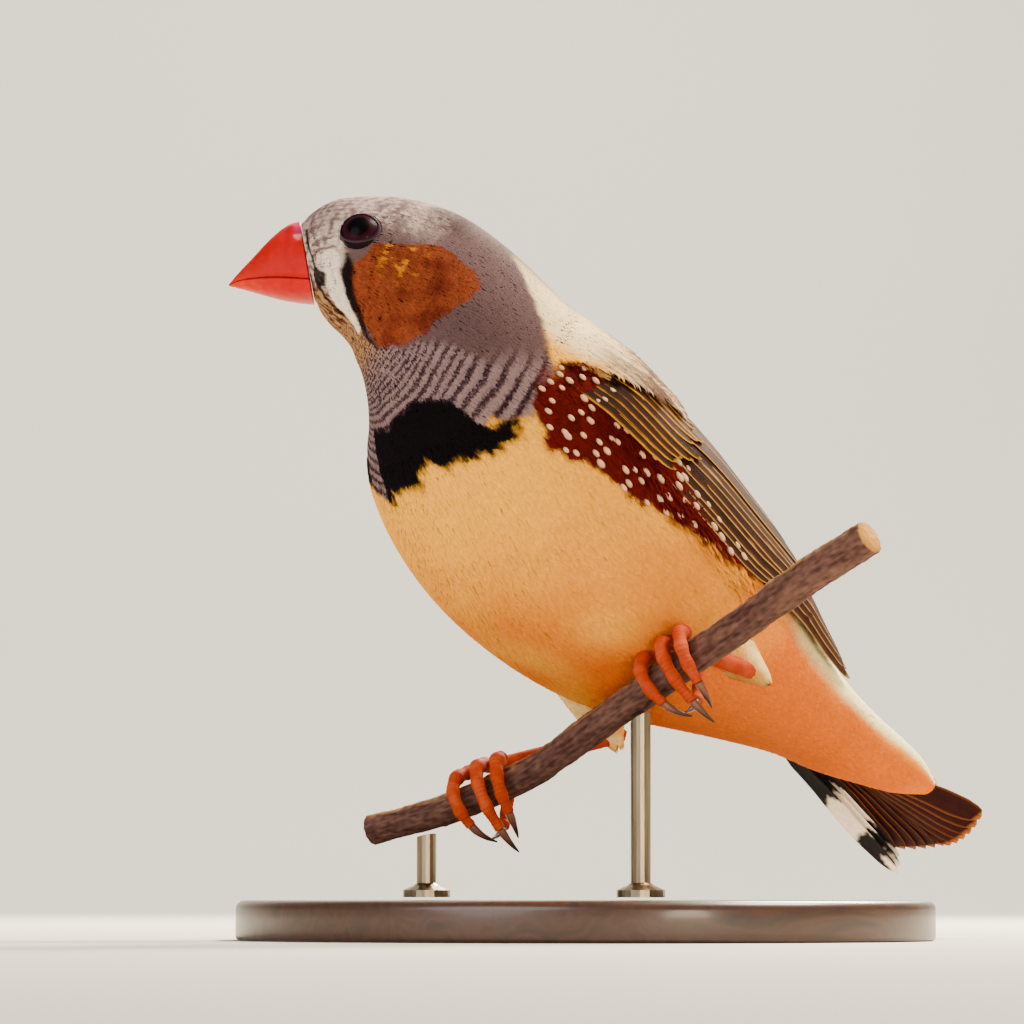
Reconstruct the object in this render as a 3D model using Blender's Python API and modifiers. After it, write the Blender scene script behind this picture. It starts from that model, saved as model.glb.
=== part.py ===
"""A male zebra finch at life size, perched on a short length of branch that a plain stand holds.

Frame: +X runs to the tail, -Y is the bird's left, +Z is up. The origin is the centre of the
stand's underside. Sizes are in millimetres and are turned into metres when a mesh is made.
Heights of the bird and its branch are measured from the grip, the middle between its two feet.
"""
import math

import bmesh
import bpy
import numpy as np

MM = 0.001
GAP = 0.3  # the space kept between two pieces that touch

# How the bird stands
GRIP_HEIGHT = 19.5  # the grip above the floor
HEAD_TURN = 42.0  # degrees, to the bird's right
BODY_ROLL = 12.0  # degrees, the right side lower, as the branch slopes that way
NECK_X = -13.2  # the upright axis that the head turns about

# Rings of the body from the bill's base to the tail's root. Each has its centre (x from the neck's
# axis, z), its lean from upright towards the tail in degrees, its half depth, its half width and
# the share of the head's turn that it takes.
RINGS = (
    (-17.6, 47.6, -10.0, 3.9, 3.4, 1.00),
    (-16.7, 47.6, -4.0, 5.1, 4.8, 1.00),
    (-15.1, 47.6, 3.0, 6.3, 6.2, 1.00),
    (-13.0, 47.2, 10.0, 7.1, 7.2, 1.00),
    (-10.9, 46.6, 18.0, 7.9, 7.9, 1.00),
    (-9.0, 45.6, 26.0, 8.7, 8.5, 1.00),
    (-7.1, 44.2, 33.0, 9.4, 9.2, 0.95),
    (-5.3, 42.0, 39.0, 10.2, 10.0, 0.82),
    (-3.6, 39.1, 44.0, 11.2, 11.2, 0.62),
    (-2.1, 35.9, 47.0, 12.3, 12.6, 0.38),
    (0.2, 32.2, 48.0, 13.2, 14.0, 0.16),
    (3.9, 27.9, 47.0, 14.0, 14.8, 0.03),
    (8.6, 23.4, 44.0, 14.3, 15.0, 0.00),
    (14.1, 19.3, 39.0, 13.9, 14.6, 0.00),
    (20.2, 15.5, 34.0, 12.8, 13.4, 0.00),
    (26.4, 12.5, 30.0, 11.2, 11.6, 0.00),
    (32.6, 9.5, 29.0, 8.9, 9.6, 0.00),
    (38.6, 6.3, 31.0, 6.7, 7.7, 0.00),
    (44.2, 3.1, 34.0, 4.9, 6.2, 0.00),
    (49.4, 0.1, 36.0, 3.7, 5.5, 0.00),
)
# First and last ring of each node of flesh, its corners round a ring and its step between rings
HEAD_SPAN = ((0.0, 6.6), 28, 0.6)
NECK_SPAN = ((6.6, 10.0), 28, 0.6)
TORSO_SPAN = ((10.0, 16.4), 32, 0.6)
RUMP_SPAN = ((16.4, 19.0), 28, 0.65)

# Eyes
EYE_RING = 3.1
EYE_ANGLE = 77.0
EYE_RADIUS = 2.4
EYE_DEPTH = 1.65  # from the face to the eyeball's centre
LID_RADIUS = 2.1
LID_THICKNESS = 0.5
LID_LIFT = 0.3
LID_FLATNESS = 0.8
LID_CORNERS = 18  # round the eye
LID_SIDES = 6  # round the lid's own thickness
BALL_CORNERS = (16, 10)  # round an eyeball and from pole to pole

# Bill, from the face forwards: distance, top, mouth line, bottom and half width
BILL = (
    (0.0, 4.1, -2.7, -4.1, 3.3),
    (1.2, 3.8, -2.5, -4.05, 3.0),
    (2.6, 2.95, -2.3, -3.85, 2.6),
    (4.0, 1.75, -2.15, -3.5, 2.05),
    (5.4, 0.3, -2.1, -3.1, 1.4),
    (6.7, -1.1, -2.15, -2.75, 0.75),
)
BILL_TIP = (7.7, -2.35)
LOWER_TIP = (7.1, -2.6)
BILL_STEPS = 9  # over the top or under the bottom, from edge to edge
BILL_ROUNDNESS = 0.8  # 1 is an ellipse, and less is fuller at the sides
LOWER_BILL_WIDTH = 0.93  # as a share of the upper bill's
NOSTRIL = (0.75, 2.35, 2.6, 0.5)  # forwards, sideways, upwards and radius
NOSTRIL_CORNERS = (8, 6)

# Branch: points of its centre line and its radius there
PERCH_LINE = (
    (-7.6, 23.6, -8.4, 1.60),
    (-5.5, 13.8, -6.2, 1.62),
    (-2.8, 4.8, -2.7, 1.66),
    (-0.3, -2.9, 2.1, 1.68),
    (1.5, -12.5, 7.5, 1.70),
    (3.4, -19.7, 11.7, 1.72),
    (5.1, -27.2, 16.2, 1.85),
    (6.4, -34.0, 19.6, 1.80),
)
PERCH_SEGMENTS = 18
PERCH_RESOLUTION = 4
PERCH_SEARCH_STEPS = 120  # of the finer line on which a place along the branch is looked up

# Stand
BASE_HALF_X = 33.0
BASE_HALF_Y = 37.0
BASE_HEIGHT = 4.0
BASE_CHAMFER = 0.7
BASE_CHAMFER_STEPS = 2
BASE_SIDES = 48
ROD_RADIUS = 1.0
ROD_Y = (16.5, -7.6)
ROD_SIDES = 16
ROD_FOOT_RADIUS = 2.4
ROD_FOOT_HEIGHT = 1.2
PERCH_ROUNDNESS_ROOM = 1.04  # the branch's corners stand out past its even radius by this share

# Wings: the plain body of the folded wing, as rings of the body with its lower and upper edge in
# degrees from the back's middle line and the space under it
WING_BODY = (
    (9.3, 84.0, 70.0, 0.38),
    (9.8, 93.0, 56.0, 0.40),
    (10.6, 96.0, 50.0, 0.42),
    (11.6, 95.0, 39.0, 0.45),
    (12.6, 92.0, 28.0, 0.60),
    (13.6, 87.0, 17.0, 0.85),
    (14.6, 81.0, 11.0, 1.10),
    (15.6, 76.0, 14.0, 1.40),
    (16.4, 73.0, 28.0, 1.30),
    (17.1, 71.0, 44.0, 1.00),
    (17.8, 70.0, 60.0, 0.60),
)
WING_THICKNESS = 0.75
WING_EDGE_THICKNESS = 0.45
WING_CORE_END = 16.2
WING_CORE_CELLS = (13, 7)  # along and across
VANE_THICKNESS = 0.5
VANE_STATIONS = ((0.0, 0.75), (0.45, 1.0), (0.85, 0.85), (1.0, 0.18))
VANE_ROOT_HEIGHT = 0.12  # over the underside of what a vane's root sinks into
VANE_CAMBER = 0.12
VANE_TILT = 0.1  # its upper edge stands this much above its middle

# Feather tracts of a wing: how many, then for the lowest and for the highest feather the root and
# the tip as a ring and degrees from the back's middle line, the half width and the height over
# the wing's body
WING_TRACTS = {
    "primaries": (7, (12.6, 88.0, 17.85, 67.0), (11.9, 60.0, 15.9, 34.0), 1.5, (0.42, 0.72)),
    "secondaries": (5, (11.6, 88.0, 14.9, 70.0), (11.3, 50.0, 14.9, 26.0), 1.7, (0.80, 0.95)),
    "tertials": (3, (11.1, 50.0, 15.3, 26.0), (10.9, 43.0, 14.4, 16.0), 2.1, (1.12, 1.30)),
    "greater_coverts": (6, (10.6, 91.0, 12.9, 84.0), (10.4, 53.0, 12.7, 37.0), 2.1, (1.12, 1.42)),
    "median_coverts": (5, (9.7, 86.0, 11.4, 86.0), (9.9, 64.0, 11.2, 49.0), 2.25, (1.30, 1.45)),
}

# Tail: root and tip of its middle line, and its half width at both
TAIL_ROOT = (36.4, 0.3, -0.8)
TAIL_TIP = (53.0, 0.6, -9.7)
TAIL_HALF_WIDTHS = (3.5, 6.6)
TAIL_ROLL = 6.0  # degrees, the right side lower
TAIL_START = 0.035  # as a share of its length, clear of the rump
TAIL_CORE_END = 0.45
TAIL_CORE_LOWS = (-0.65, -0.4)  # underside at the core's two ends
TAIL_CORE_HIGHS = (0.65, 0.3)
TAIL_FEATHERS = 12
TAIL_ROOT_INSET = 0.9
TAIL_TIP_INSET = 0.7
TAIL_LEVEL = 0.1
TAIL_CAMBER = 0.1
TAIL_FEATHER_HALF_WIDTH = 1.35
TAIL_STEP_DOWN = 0.06  # how far each feather out from the middle pair lies below the last
TAIL_ROUNDING = 0.0035  # how much shorter the outer feathers are, as a share of the length
COVERT_LEVEL = TAIL_CORE_HIGHS[0] + GAP
UPPER_COVERTS = 7
UPPER_COVERT_HALF_WIDTH = 1.3
UPPER_COVERTS_REACH = 0.62
UPPER_CORE_END = 0.3
UPPER_CORE_WIDTHS = (5.0, 4.4)
UPPER_CORE_HIGHS = (3.4, COVERT_LEVEL + 0.9)
UPPER_SPREAD = (3.0, 4.2)  # the outer coverts' distance from the middle at root and tip
UNDER_COVERTS_REACH = 0.78
UNDER_COVERT_WIDTHS = (4.3, 2.2)
UNDER_COVERT_LOWS = (-3.5, -COVERT_LEVEL - 0.5)
UNDER_COVERT_SHIFT = 1.2  # to the left
# The long barred coverts that hang beside the tail on the right: root, tip (share of the tail's
# length, millimetres to the left and above) and half width
SIDE_COVERTS = (
    ((0.05, -5.0, -1.5), (0.52, -5.9, -1.7), 1.2),
    ((0.06, -4.9, -1.8), (0.80, -6.8, -1.9), 1.3),
    ((0.07, -4.8, -2.1), (1.02, -7.3, -2.2), 1.2),
)

# Legs. Points are measured along the branch towards the bird's left, forwards and upwards from
# the branch's centre line at the foot.
FOOT_Y = {"left": -12.5, "right": 9.1}
HEEL = {"left": (13.3, -11.3, 7.2), "right": (9.6, 5.9, 1.1)}
KNEE = {"left": (9.5, -6.0, 12.4), "right": (5.5, 6.5, 8.6)}
PAD = (0.0, -1.5, 2.85)
# Half width and half height of the shin and foot from the heel to under the front toes, and of the
# space kept free for them
TARSUS_RADII = ((0.62, 0.62), (0.95, 0.95), (0.75, 0.75), (0.8, 0.8), (1.9, 0.8), (2.3, 0.62))
TARSUS_SPACE = ((1.1, 1.1), (1.25, 1.25), (1.05, 1.05), (1.1, 1.1), (2.2, 1.1), (2.6, 0.92))
TARSUS_SIDES = 10
THIGH_DISTANCES = (0.0, 0.8, 2.2, 4.2, 6.5)  # from the heel towards the knee
THIGH_RADII = (1.3, 2.2, 3.0, 3.6, 3.8)
THIGH_SIDES = 12
THIGH_CUT = ((11.0, 18.0), 32, 0.6)  # the stretch of the body that is cut from a thigh
TOE_RADII = (0.72, 0.74, 0.66, 0.62, 0.5)
TOE_SEGMENTS = 7
TOE_RESOLUTION = 2
TOE_SPACE_SIDES = 8
TOES = {
    "1": ((0.0, -3.0, 1.3), (-0.2, -3.0, -0.3), (-0.4, -2.5, -2.0), (-0.5, -1.4, -3.4)),
    "2": ((-1.9, -0.1, 2.85), (-2.5, 1.7, 2.2), (-2.7, 2.8, 0.6), (-2.5, 2.7, -1.6), (-2.2, 1.8, -3.1)),
    "3": ((0.0, -0.1, 2.95), (0.2, 1.9, 2.3), (0.4, 2.9, 0.4), (0.6, 2.7, -2.2), (0.8, 1.5, -4.6)),
    "4": ((1.9, -0.1, 2.85), (2.5, 1.7, 2.2), (2.7, 2.8, 0.4), (2.6, 2.7, -1.7), (2.4, 1.8, -3.4)),
}
CLAW_LENGTH = 3.0
CLAW_RADII = (0.44, 0.4, 0.3, 0.2, 0.08)
CLAW_BEND = 38.0  # degrees
CLAW_STEPS = 4
CLAW_RESOLUTION = 1

MATERIALS = {
    "plumage_grey": ((0.45, 0.43, 0.44), 0.7),
    "plumage_cream": ((0.80, 0.66, 0.50), 0.7),
    "plumage_brown": ((0.25, 0.15, 0.11), 0.6),
    "plumage_barred": ((0.12, 0.10, 0.10), 0.6),
    "bill_horn": ((0.80, 0.10, 0.08), 0.35),
    "leg_skin": ((0.75, 0.25, 0.12), 0.5),
    "claw_horn": ((0.20, 0.12, 0.08), 0.4),
    "eye_glass": ((0.05, 0.01, 0.02), 0.08),
    "branch_bark": ((0.28, 0.20, 0.17), 0.8),
    "stand_wood": ((0.12, 0.07, 0.05), 0.4),
    "stand_metal": ((0.60, 0.52, 0.35), 0.3),
}


def clear_scene():
    for item in list(bpy.data.objects):
        bpy.data.objects.remove(item, do_unlink=True)
    for old in list(bpy.data.collections):
        bpy.data.collections.remove(old)


def make_materials():
    made = {}
    for name, (colour, roughness) in MATERIALS.items():
        material = bpy.data.materials.new(name)
        material.use_nodes = True
        shader = material.node_tree.nodes["Principled BSDF"]
        shader.inputs["Base Color"].default_value = (*colour, 1.0)
        shader.inputs["Roughness"].default_value = roughness
        made[name] = material
    return made


def new_collection(name, hidden):
    group = bpy.data.collections.new(name)
    bpy.context.scene.collection.children.link(group)
    group.hide_render = hidden
    return group


clear_scene()
MATERIAL = make_materials()
PART = new_collection("zebra_finch", False)
CUTTERS = new_collection("cutters", True)


# Meshes

def place_mesh(name, mesh, centre, material=None):
    """An object for a mesh, at a place in millimetres; with no material it is a cutter."""
    made = bpy.data.objects.new(name, mesh)
    made.location = [float(value) * MM for value in centre]
    if material:
        PART.objects.link(made)
        mesh.materials.append(MATERIAL[material])
    else:
        CUTTERS.objects.link(made)
        made.hide_render = True
        made.display_type = "WIRE"
    return made


def solid(name, shape, material=None):
    """A mesh object of points in millimetres, with its faces turned outwards."""
    points, faces = shape
    centre = np.mean(points, axis=0)
    mesh = bpy.data.meshes.new(name)
    local = [tuple(float(value) * MM for value in point - centre) for point in np.array(points)]
    mesh.from_pydata(local, [], faces)
    mesh.validate()
    mesh.calc_loop_triangles()
    volume = 0.0
    for triangle in mesh.loop_triangles:
        first, second, third = [mesh.vertices[index].co for index in triangle.vertices]
        volume += first.dot(second.cross(third)) / 6.0
    if volume < 0.0:
        mesh.flip_normals()
    return place_mesh(name, mesh, centre, material)


def rod_curve(name, line, radii, resolution, material):
    """A round rod along points, as a curve object with filled caps and its own radius at each."""
    data = bpy.data.curves.new(name, "CURVE")
    data.dimensions = "3D"
    data.bevel_depth = MM
    data.bevel_resolution = resolution
    data.use_fill_caps = True
    path = data.splines.new("POLY")
    path.points.add(len(line) - 1)
    for point, place, radius in zip(path.points, line, radii):
        point.co = (*[float(value) * MM for value in place - line[0]], 1.0)
        point.radius = radius
    data.materials.append(MATERIAL[material])
    made = bpy.data.objects.new(name, data)
    made.location = [float(value) * MM for value in line[0]]
    PART.objects.link(made)
    return made


def loft(sections):
    """Points and faces of a closed solid through equal closed sections, with flat ends.

    A first or last section of one point closes to a tip.
    """
    points = []
    faces = []
    starts = []
    for section in sections:
        starts.append(len(points))
        points.extend(section)
    count = max(len(section) for section in sections)
    for index in range(len(sections) - 1):
        low, high = starts[index], starts[index + 1]
        for step in range(count):
            after = (step + 1) % count
            if len(sections[index]) == 1:
                faces.append((low, high + after, high + step))
            elif len(sections[index + 1]) == 1:
                faces.append((low + step, low + after, high))
            else:
                faces.append((low + step, low + after, high + after))
                faces.append((low + step, high + after, high + step))
    if len(sections[0]) > 1:
        faces.append(tuple(reversed(range(count))))
    if len(sections[-1]) > 1:
        faces.append(tuple(starts[-1] + step for step in range(count)))
    return points, faces


def ball(name, centre, radius, corners, material=None):
    """A sphere placed by its location; with no material it is a cutter."""
    across, down = corners
    mesh = bpy.data.meshes.new(name)
    shape = bmesh.new()
    bmesh.ops.create_uvsphere(shape, u_segments=across, v_segments=down, radius=radius * MM)
    shape.to_mesh(mesh)
    shape.free()
    return place_mesh(name, mesh, centre, material)


def frames_along(line):
    """Two unit vectors across a line of points at each of them, without twist."""
    tangents = np.gradient(line, axis=0)
    tangents /= np.linalg.norm(tangents, axis=1)[:, None]
    side = np.cross(tangents[0], (0.0, 0.0, 1.0))
    if np.linalg.norm(side) < 0.1:
        side = np.cross(tangents[0], (1.0, 0.0, 0.0))
    found = []
    for tangent in tangents:
        side = side - tangent * (side @ tangent)
        side /= np.linalg.norm(side)
        found.append((side, np.cross(side, tangent)))
    return found


def tube(line, radii, sides):
    """Points and faces of a tube; each radius is a pair, across and up."""
    sections = []
    for centre, (wide, high), (across, above) in zip(line, radii, frames_along(line)):
        ring = []
        for step in range(sides):
            turn = -2.0 * math.pi * step / sides
            ring.append(centre + across * wide * math.cos(turn) + above * high * math.sin(turn))
        sections.append(ring)
    return loft(sections)


def spline(rows, position):
    """A smooth curve through the rows of a table at a place counted in rows."""
    rows = np.asarray(rows, float)
    last = len(rows) - 1
    position = min(max(position, 0.0), last - 1e-9)
    index = int(position)
    share = position - index
    before = rows[index - 1] if index > 0 else 2.0 * rows[0] - rows[1]
    after = rows[index + 2] if index + 2 <= last else 2.0 * rows[-1] - rows[-2]
    here, there = rows[index], rows[index + 1]
    return 0.5 * (
        2.0 * here
        + (there - before) * share
        + (2.0 * before - 5.0 * here + 4.0 * there - after) * share**2
        + (3.0 * here - before - 3.0 * there + after) * share**3
    )


def smooth_line(rows, segments):
    """A table's curve as equal steps of its rows."""
    return [spline(rows, (len(rows) - 1) * step / segments) for step in range(segments + 1)]


def between(table, key):
    """A table's row at a key in its first column, by straight lines."""
    table = np.asarray(table, float)
    return [np.interp(key, table[:, 0], table[:, column]) for column in range(1, table.shape[1])]


def keep_largest(made):
    """Keeps only the largest closed surface of a mesh."""
    mesh = made.data
    parent = list(range(len(mesh.vertices)))

    def root(index):
        while parent[index] != index:
            parent[index] = parent[parent[index]]
            index = parent[index]
        return index

    for edge in mesh.edges:
        first, second = root(edge.vertices[0]), root(edge.vertices[1])
        parent[first] = second
    groups = {}
    for face in mesh.polygons:
        groups.setdefault(root(face.vertices[0]), []).append(face)

    def extent(faces):
        places = np.array([mesh.vertices[index].co for face in faces for index in face.vertices])
        return float(np.prod(places.max(axis=0) - places.min(axis=0)))

    best = max(groups.values(), key=extent)
    wanted = sorted({index for face in best for index in face.vertices})
    lookup = {old: new for new, old in enumerate(wanted)}
    points = [tuple(mesh.vertices[index].co) for index in wanted]
    faces = [tuple(lookup[index] for index in face.vertices) for face in best]
    fresh = bpy.data.meshes.new(made.name)
    fresh.from_pydata(points, [], faces)
    for material in mesh.materials:
        fresh.materials.append(material)
    made.data = fresh
    bpy.data.meshes.remove(mesh)


def apply_modifier(made, modifier):
    """Replaces an object's mesh by the result of its modifier."""
    shape = bpy.data.meshes.new_from_object(made.evaluated_get(bpy.context.evaluated_depsgraph_get()))
    made.modifiers.remove(modifier)
    made.data = shape


def boolean(made, others, operation):
    """One Boolean with a collection of closed meshes, which are then removed."""
    group = bpy.data.collections.new(made.name + "_tools")
    bpy.context.scene.collection.children.link(group)
    for other in others:
        for owner in list(other.users_collection):
            owner.objects.unlink(other)
        group.objects.link(other)
    modifier = made.modifiers.new("join", "BOOLEAN")
    modifier.operation = operation
    modifier.solver = "EXACT"
    modifier.operand_type = "COLLECTION"
    modifier.collection = group
    apply_modifier(made, modifier)
    for other in list(group.objects):
        bpy.data.objects.remove(other, do_unlink=True)
    bpy.data.collections.remove(group)
    keep_largest(made)


# The body's surface

def ring_frame(place):
    """Centre, depth vector towards the back and width vector to the left of a ring."""
    x, z, lean, depth, width, share = spline(RINGS, place)
    turn = -math.radians(HEAD_TURN * share)
    lean = math.radians(lean)
    roll = math.radians(BODY_ROLL)
    centre = np.array((NECK_X + x * math.cos(turn), x * math.sin(turn), z + GRIP_HEIGHT))
    ahead = np.array((math.cos(turn), math.sin(turn), 0.0))
    back = ahead * math.sin(lean) + np.array((0.0, 0.0, math.cos(lean)))
    left = np.array((math.sin(turn), -math.cos(turn), 0.0))
    return (
        centre,
        depth * (back * math.cos(roll) - left * math.sin(roll)),
        width * (left * math.cos(roll) + back * math.sin(roll)),
    )


def body_point(place, degrees, lift=0.0):
    """A point of the body; degrees go from the back's middle line to the left."""
    centre, back, left = ring_frame(place)
    angle = math.radians(degrees)
    point = centre + back * math.cos(angle) + left * math.sin(angle)
    if lift == 0.0:
        return point
    return point + body_normal(place, degrees) * lift


def body_normal(place, degrees):
    step = 0.05
    low = max(place - step, 0.0)
    high = min(place + step, len(RINGS) - 1.0)
    along = body_point(high, degrees) - body_point(low, degrees)
    around = body_point(place, degrees + 1.0) - body_point(place, degrees - 1.0)
    normal = np.cross(along, around)
    normal /= np.linalg.norm(normal)
    outwards = body_point(place, degrees) - ring_frame(place)[0]
    return normal if normal @ outwards > 0.0 else -normal


def ring_normal(place):
    """Unit vector across a ring's plane, towards the tail."""
    _, back, left = ring_frame(place)
    normal = np.cross(left, back)
    normal /= np.linalg.norm(normal)
    return normal if normal[0] > 0.0 else -normal


def ring_points(place, sides, shift=0.0, grow=0.0):
    centre, back, left = ring_frame(place)
    centre = centre + ring_normal(place) * shift
    back = back * (1.0 + grow / np.linalg.norm(back))
    left = left * (1.0 + grow / np.linalg.norm(left))
    ring = []
    for step in range(sides):
        angle = 2.0 * math.pi * step / sides
        ring.append(centre + back * math.cos(angle) + left * math.sin(angle))
    return ring


def body_solid(span, grow=0.0):
    """Points and faces of the body between two rings, half a gap short of each."""
    ends, sides, step = span
    count = max(2, round((ends[1] - ends[0]) / step))
    first_shift = 0.0 if ends[0] == 0.0 else GAP / 2.0
    last_shift = 0.0 if ends[1] == len(RINGS) - 1.0 else -GAP / 2.0
    sections = [ring_points(ends[0], sides, first_shift, grow)]
    for index in range(1, count):
        place = ends[0] + (ends[1] - ends[0]) * index / count
        sections.append(ring_points(place, sides, 0.0, grow))
    sections.append(ring_points(ends[1], sides, last_shift, grow))
    return loft(sections)


# Head

def eye_centre(side):
    return body_point(EYE_RING, side * EYE_ANGLE, -EYE_DEPTH)


def lid_ring(side):
    """Points and faces of the raised rim round an eye."""
    normal = body_normal(EYE_RING, side * EYE_ANGLE)
    across = np.cross(normal, (0.0, 0.0, 1.0))
    across /= np.linalg.norm(across)
    above = np.cross(across, normal)
    rim = body_point(EYE_RING, side * EYE_ANGLE, LID_LIFT)
    points = []
    for corner in range(LID_CORNERS):
        turn = 2.0 * math.pi * corner / LID_CORNERS
        outwards = across * math.cos(turn) + above * math.sin(turn) * LID_FLATNESS
        centre = rim + outwards * LID_RADIUS
        unit = outwards / np.linalg.norm(outwards)
        for step in range(LID_SIDES):
            angle = 2.0 * math.pi * step / LID_SIDES
            points.append(centre + (unit * math.cos(angle) + normal * math.sin(angle)) * LID_THICKNESS)
    faces = []
    for corner in range(LID_CORNERS):
        low = corner * LID_SIDES
        high = ((corner + 1) % LID_CORNERS) * LID_SIDES
        for step in range(LID_SIDES):
            after = (step + 1) % LID_SIDES
            faces.append((low + step, low + after, high + after, high + step))
    return points, faces


def make_head():
    head = solid("head", body_solid(HEAD_SPAN), "plumage_grey")
    lids = []
    sockets = []
    for side, word in ((1.0, "left"), (-1.0, "right")):
        lids.append(solid("lid_" + word, lid_ring(side)))
        sockets.append(ball("socket_" + word, eye_centre(side), EYE_RADIUS + GAP, BALL_CORNERS))
        ball("eye_" + word, eye_centre(side), EYE_RADIUS, BALL_CORNERS, "eye_glass")
    boolean(head, lids, "UNION")
    boolean(head, sockets, "DIFFERENCE")


def bill_point(forwards, sideways, upwards):
    """A point measured from the middle of the face."""
    centre, back, left = ring_frame(0.0)
    turn = -math.radians(HEAD_TURN)
    ahead = np.array((-math.cos(turn), -math.sin(turn), 0.0))
    above = back / np.linalg.norm(back)
    level = above - ahead * (above @ ahead)
    level /= np.linalg.norm(level)
    lean = (above @ ahead) / (above @ level)
    fade = max(0.0, 1.0 - forwards / BILL_TIP[0])
    across = left / np.linalg.norm(left)
    return centre + ahead * (forwards + upwards * lean * fade) + across * sideways + level * upwards


def bill_half(upper):
    """Sections of the upper or the lower bill, from the face to its tip."""
    share = 1.0 if upper else LOWER_BILL_WIDTH
    clear = GAP / 2.0 if upper else -GAP / 2.0
    sections = []
    for forwards, top, mouth, bottom, half in BILL:
        reach = (top if upper else bottom) - mouth - clear
        section = []
        for step in range(BILL_STEPS + 1):
            angle = math.pi * step / BILL_STEPS
            height = mouth + clear + reach * math.sin(angle) ** BILL_ROUNDNESS
            section.append(bill_point(max(forwards, GAP), share * half * math.cos(angle), height))
        sections.append(section)
    tip = BILL_TIP if upper else LOWER_TIP
    sections.append([bill_point(tip[0], 0.0, tip[1])])
    return sections


def make_bill():
    bill_upper = solid("bill_upper", loft(bill_half(True)), "bill_horn")
    solid("bill_lower", loft(bill_half(False)), "bill_horn")
    forwards, sideways, upwards, radius = NOSTRIL
    pits = []
    for side, word in ((1.0, "left"), (-1.0, "right")):
        centre = bill_point(forwards, side * sideways, upwards)
        pits.append(ball("nostril_" + word, centre, radius, NOSTRIL_CORNERS))
    boolean(bill_upper, pits, "DIFFERENCE")


# Body

def make_body():
    solid("neck", body_solid(NECK_SPAN), "plumage_grey")
    torso = solid("torso", body_solid(TORSO_SPAN), "plumage_cream")
    solid("rump", body_solid(RUMP_SPAN), "plumage_cream")
    return torso


# Wings

def slab(grid_low, grid_high):
    """A closed solid between two equal grids of points, the low one beneath."""
    rows, columns = len(grid_low), len(grid_low[0])
    points = [point for row in grid_low for point in row]
    points += [point for row in grid_high for point in row]
    offset = rows * columns
    faces = []

    def place(row, column, top):
        return row * columns + column + (offset if top else 0)

    for row in range(rows - 1):
        for column in range(columns - 1):
            corners = ((row, column), (row + 1, column), (row + 1, column + 1), (row, column + 1))
            for top in (False, True):
                a, b, c, d = [place(*corner, top) for corner in corners]
                faces.extend([(a, b, c), (a, c, d)] if top else [(c, b, a), (d, c, a)])
    edge = [(0, column) for column in range(columns)]
    edge += [(row, columns - 1) for row in range(1, rows)]
    edge += [(rows - 1, column) for column in range(columns - 2, -1, -1)]
    edge += [(row, 0) for row in range(rows - 2, 0, -1)]
    for index, here in enumerate(edge):
        there = edge[(index + 1) % len(edge)]
        faces.append((place(*there, False), place(*here, False), place(*here, True)))
        faces.append((place(*there, False), place(*here, True), place(*there, True)))
    return points, faces


def wing_slab(side, first, last):
    """The folded wing's body between two rings."""
    rows, columns = WING_CORE_CELLS
    low = []
    high = []
    for row in range(rows + 1):
        place = first + (last - first) * row / rows
        bottom, top, lift = between(WING_BODY, place)
        low_row = []
        high_row = []
        for column in range(columns + 1):
            share = column / columns
            degrees = side * (bottom + (top - bottom) * share)
            fullness = math.sqrt(math.sin(math.pi * share))
            rise = WING_EDGE_THICKNESS + (WING_THICKNESS - WING_EDGE_THICKNESS) * fullness
            low_row.append(body_point(place, degrees, lift))
            high_row.append(body_point(place, degrees, lift + rise))
        low.append(low_row)
        high.append(high_row)
    return slab(low, high)


def wing_vane(name, root, tip, half_width, height, side):
    """A feather between two places on the body, over the wing's body at a height."""
    low = []
    high = []
    for along, broad in VANE_STATIONS:
        place = root[0] + (tip[0] - root[0]) * along
        degrees = root[1] + (tip[1] - root[1]) * along
        climb = min(1.0, along / VANE_STATIONS[1][0])
        lift = between(WING_BODY, place)[2] + VANE_ROOT_HEIGHT + (height - VANE_ROOT_HEIGHT) * climb
        centre, _, _ = ring_frame(place)
        reach = np.linalg.norm(body_point(place, side * degrees) - centre) + lift
        spread = math.degrees(half_width * broad / reach)
        low_row = []
        high_row = []
        for across in (-1.0, 0.0, 1.0):
            angle = side * (degrees + across * spread)
            camber = VANE_CAMBER * (1.0 - abs(across)) - VANE_TILT * across
            low_row.append(body_point(place, angle, lift + camber))
            high_row.append(body_point(place, angle, lift + camber + VANE_THICKNESS))
        low.append(low_row)
        high.append(high_row)
    return solid(name, slab(low, high))


def wing_feathers(word, side):
    vanes = []
    for tract, (count, lowest, highest, half_width, heights) in WING_TRACTS.items():
        for index in range(count):
            share = index / (count - 1)
            place = [low + (high - low) * share for low, high in zip(lowest, highest)]
            height = heights[0] + (heights[1] - heights[0]) * share
            name = f"{tract}_{word}_{index}"
            vanes.append(wing_vane(name, place[:2], place[2:], half_width, height, side))
    return vanes


def make_wings():
    for side, word in ((1.0, "left"), (-1.0, "right")):
        shape = wing_slab(side, WING_BODY[0][0], WING_CORE_END)
        wing = solid("wing_" + word, shape, "plumage_brown")
        boolean(wing, wing_feathers(word, side), "UNION")


# Tail

def tail_point(along, sideways, rise):
    """A point of the tail: a share of its length, and millimetres to the left and above it."""
    root = np.array(TAIL_ROOT) + (0.0, 0.0, GRIP_HEIGHT)
    tip = np.array(TAIL_TIP) + (0.0, 0.0, GRIP_HEIGHT)
    roll = math.radians(TAIL_ROLL)
    line = tip - root
    left = np.array((0.0, -1.0, 0.0))
    above = np.cross(line / np.linalg.norm(line), left)
    above /= np.linalg.norm(above)
    if above[2] < 0.0:
        above = -above
    tilted = left * math.cos(roll) + above * math.sin(roll)
    over = above * math.cos(roll) - left * math.sin(roll)
    return root + line * along + tilted * sideways + over * rise


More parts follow.
